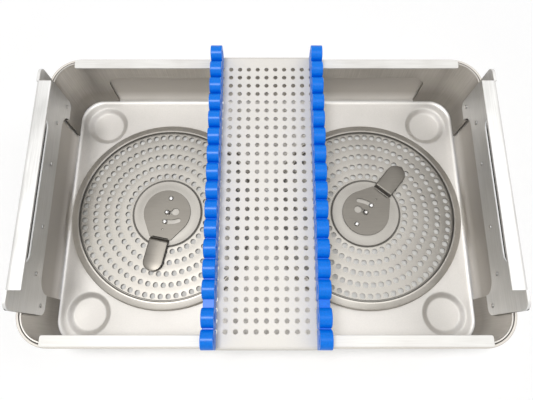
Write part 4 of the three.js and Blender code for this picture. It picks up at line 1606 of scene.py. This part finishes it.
@dataclass
class EndHandle:
    """A riveted bracket with two ears, and the bail that swings in them."""

    side: str
    sign: int
    wall: float
    bead_low: float
    bead_gap: float = 1.2
    gap: float = 0.3
    sheet: float = 1.5
    half_length: float = 66.0
    plate_height: float = 20.0
    ear_distance: float = 50.0
    ear_thickness: float = 6.0
    ear_radius: float = 7.0
    rod: float = 3.0
    bend: float = 7.0
    drop: float = 45.0
    half_span: float = 60.0
    rivets: tuple[float, ...] = (-59.0, -38.0, 38.0, 59.0)
    rivet_sizes: RivetSizes = (3.4, 2.0, 2.0, 3.2)
    plate_corner: float = 5.0
    stand_off: float = 8.0
    weld: float = 0.4
    play: float = 1.0

    @property
    def height(self) -> float:
        """Height of the bracket's middle and of the bail's pivot, below the pan's bead."""
        return self.bead_low - self.bead_gap - self.plate_height / 2

    @property
    def face(self) -> float:
        """The bracket's outer face, on the right-hand end."""
        return self.wall + self.gap + self.sheet

    @property
    def axis_x(self) -> float:
        """The bail's pivot, on the right-hand end."""
        return self.face + self.stand_off

    def bracket(self) -> Shell:
        """Makes the bracket's sheet and ears.

        Returns:
            Their closed shells.
        """
        back = self.wall + self.gap
        plate = rounded_rectangle(self.half_length, self.plate_height / 2, self.plate_corner)
        raised = [(y, z + self.height) for y, z in plate]
        made = slab([raised], back, self.face, Facing.ENDWAYS, 0.3)
        ear = [(back + self.weld, self.height - self.ear_radius)]
        ear += arc((self.axis_x, self.height), self.ear_radius, -90, 90, 18)
        ear.append((back + self.weld, self.height + self.ear_radius))
        bore = circle((self.axis_x, self.height), self.rod + self.gap, 32)
        for way in (-1, 1):
            middle = way * self.ear_distance
            low, high = middle - self.ear_thickness / 2, middle + self.ear_thickness / 2
            made = made.joined(slab([ear, bore], low, high, Facing.SIDEWAYS, 0.4))
        return made

    def bail(self) -> Shell:
        """Makes the bail: one rod, bent down, across and up again.

        Returns:
            The swept rod.
        """
        stub = self.ear_distance - self.ear_thickness / 2 - self.play
        low = self.height - self.drop
        y = self.half_span - self.bend
        path = [(stub, self.height), (y, self.height)]
        path += arc((y, self.height - self.bend), self.bend, 90, 0, 10)[1:]
        path += arc((y, low + self.bend), self.bend, 0, -90, 10)
        path += [(-u, v) for u, v in path[::-1]]
        sections = []
        for i, (u, v) in enumerate(path):
            before, after = path[max(i - 1, 0)], path[min(i + 1, len(path) - 1)]
            along = Vector((after[0] - before[0], after[1] - before[1])).normalized()
            rim = circle((0, 0), self.rod, 16)
            sections.append([(self.axis_x + out, u - along.y * up, v + along.x * up) for out, up in rim])
        return lofted(sections)

    def build(self, steel: Material, riveting: Riveting) -> None:
        """Makes the bracket, its rivets and the bail.

        Args:
            steel: the material of bracket and bail.
            riveting: what puts a rivet on each place.
        """
        node = f"handle_bracket_{self.side}"
        mesh = mirrored(self.bracket().mesh(node), self.sign)
        Dress(f"riveted_{node}", steel, "handle_steel", "base", (node,)).put_on(mesh)
        node = f"handle_bail_{self.side}"
        mesh = mirrored(self.bail().mesh(node), self.sign)
        Dress(f"bent_{node}", steel, "handle_steel", f"bail_{self.side}", (node,), 50).put_on(mesh)
        places = [(self.sign * self.face, y, self.height) for y in self.rivets]
        heads = riveting.row(places, self.sign * math.pi / 2, self.rivet_sizes)
        nodes = tuple(f"bracket_rivet_{self.side}_{i}" for i in range(1, 5))
        Dress(f"bracket_rivets_{self.side}", riveting.finish, "rivet_steel", "base", nodes, 50).put_on(heads)


@dataclass
class Studio:
    """The pale floor, the soft lights, the white surroundings and the camera."""

    focal: float = 490.5
    picture_width: float = 533.0
    camera: Spot = (0.0, -152.8, 562.7)
    tilt: float = 17.03
    aim: Spot = (0.0, 0.0, 0.05)
    reach: float = 6.0

    def floor(self) -> None:
        """Lays a wide pale floor under the feet."""
        mesh = bpy.data.meshes.new("studio_floor")
        corners = level_with(oblong(self.reach, -self.reach, self.reach), 0)
        mesh.from_pydata(corners, [], [(0, 1, 2, 3)])
        paint, shader, place = new_paint("studio_floor_paint")
        noise = add_node(place, NOISE, {"Vector": place, "Scale": 4.0})
        colours = {0: noise, FIRST: linear("#fcfcfc"), SECOND: linear("#fafafa")}
        tone = add_node(place, MIX, colours, data_type="RGBA").outputs[MIXED]
        # The lamps' light falls off away from the container, so the lift that keeps the floor white grows
        far = add_node(place, VECTOR_MATHS, {0: place}, operation="LENGTH").outputs["Value"]
        spread = {"Value": far, "From Min": 0.4, "From Max": 3.0, "To Min": 0.09, "To Max": 0.58}
        rise = {0: directly_seen(paint.node_tree), 1: add_node(place, RANGE, spread)}
        wire(
            shader,
            {
                "Base Color": tone,
                "Roughness": 0.9,
                "Specular IOR Level": 0.1,
                "Emission Color": (1, 1, 1, 1),
                "Emission Strength": add_node(place, MATHS, rise, operation="MULTIPLY"),
            },
        )
        mesh.materials.append(paint)
        held(mesh)

    def lamp(self, name: str, place: Spot, size: Span, power: float) -> None:
        """Hangs one soft lamp that faces the middle of the container.

        Args:
            name: the lamp's name.
            place: where it hangs, in metres.
            size: the width and height of its face, in metres.
            power: its power in watts.
        """
        light = bpy.data.lights.new(name, "AREA")
        light.shape = "RECTANGLE"
        light.size, light.size_y = size
        light.energy = power
        made = bpy.data.objects.new(name, light)
        made.location = place
        made.rotation_euler = (Vector(self.aim) - Vector(place)).to_track_quat("-Z", "Y").to_euler()
        bpy.context.scene.collection.objects.link(made)

    def surroundings(self) -> None:
        """Makes the surroundings white to look at and in reflections, and softer as a light."""
        world = bpy.data.worlds.new("studio")
        world.use_nodes = True
        tree = world.node_tree
        tree.nodes.clear()
        level = add_node(tree, RANGE, {"Value": directly_seen(tree), "To Min": 0.44, "To Max": 1.0})
        light = add_node(tree, "ShaderNodeBackground", {"Color": (1, 1, 1, 1), "Strength": level})
        add_node(tree, "ShaderNodeOutputWorld", {0: light})
        bpy.context.scene.world = world

    def photo_camera(self) -> None:
        """Sets up the camera that the photograph was solved for."""
        data = bpy.data.cameras.new("photo_camera")
        data.sensor_width = 36.0
        data.lens = self.focal / self.picture_width * data.sensor_width
        data.clip_start = 0.01
        made = bpy.data.objects.new("photo_camera", data)
        made.location = tuple(c * MM for c in self.camera)
        made.rotation_euler = (math.radians(self.tilt), 0, 0)
        bpy.context.scene.collection.objects.link(made)
        bpy.context.scene.camera = made

    def build(self) -> None:
        """Sets up the camera, the floor, the surroundings and the lamps."""
        bpy.context.scene.view_settings.view_transform = "Standard"
        self.photo_camera()
        self.floor()
        self.surroundings()
        self.lamp("key_softbox", (-0.3, -0.15, 2.2), (0.4, 0.4), 23)
        self.lamp("right_panel", (1.1, 0.4, 1.8), (0.7, 1.4), 4)


def main() -> None:
    """Builds every sub-assembly in order, and the studio round them."""
    logging.basicConfig(level=logging.INFO, format="%(name)s: %(message)s")
    pan = Pan()
    finishes = {name: finish.material() for name, finish in FINISHES.items()}
    ports = [FilterPort(side, x, heading, pan.floor) for side, x, heading in PORTS]
    pan.build([port.x for port in ports], finishes["pan"])
    for port in ports:
        port.build(finishes)
    riveting = Riveting(rivet_rows(), finishes["rivet"])
    insert = InsertFrame(pan)
    insert.build(finishes, riveting)
    bridge = Bridge(pan.rim + 2 * insert.gap + insert.sheet, pan.width / 2 + insert.gap)
    bridge.deck(finishes["deck"])
    row = lobe_row()
    for side, sign in ENDS:
        bridge.strip(side, sign, row, finishes["silicone"])
    wall = pan.length / 2 - pan.overhang
    for side, sign in ENDS:
        EndHandle(side, sign, wall, pan.rim - pan.rim_height).build(finishes["handle"], riveting)
    Studio().build()


if __name__ == "__main__":
    main()
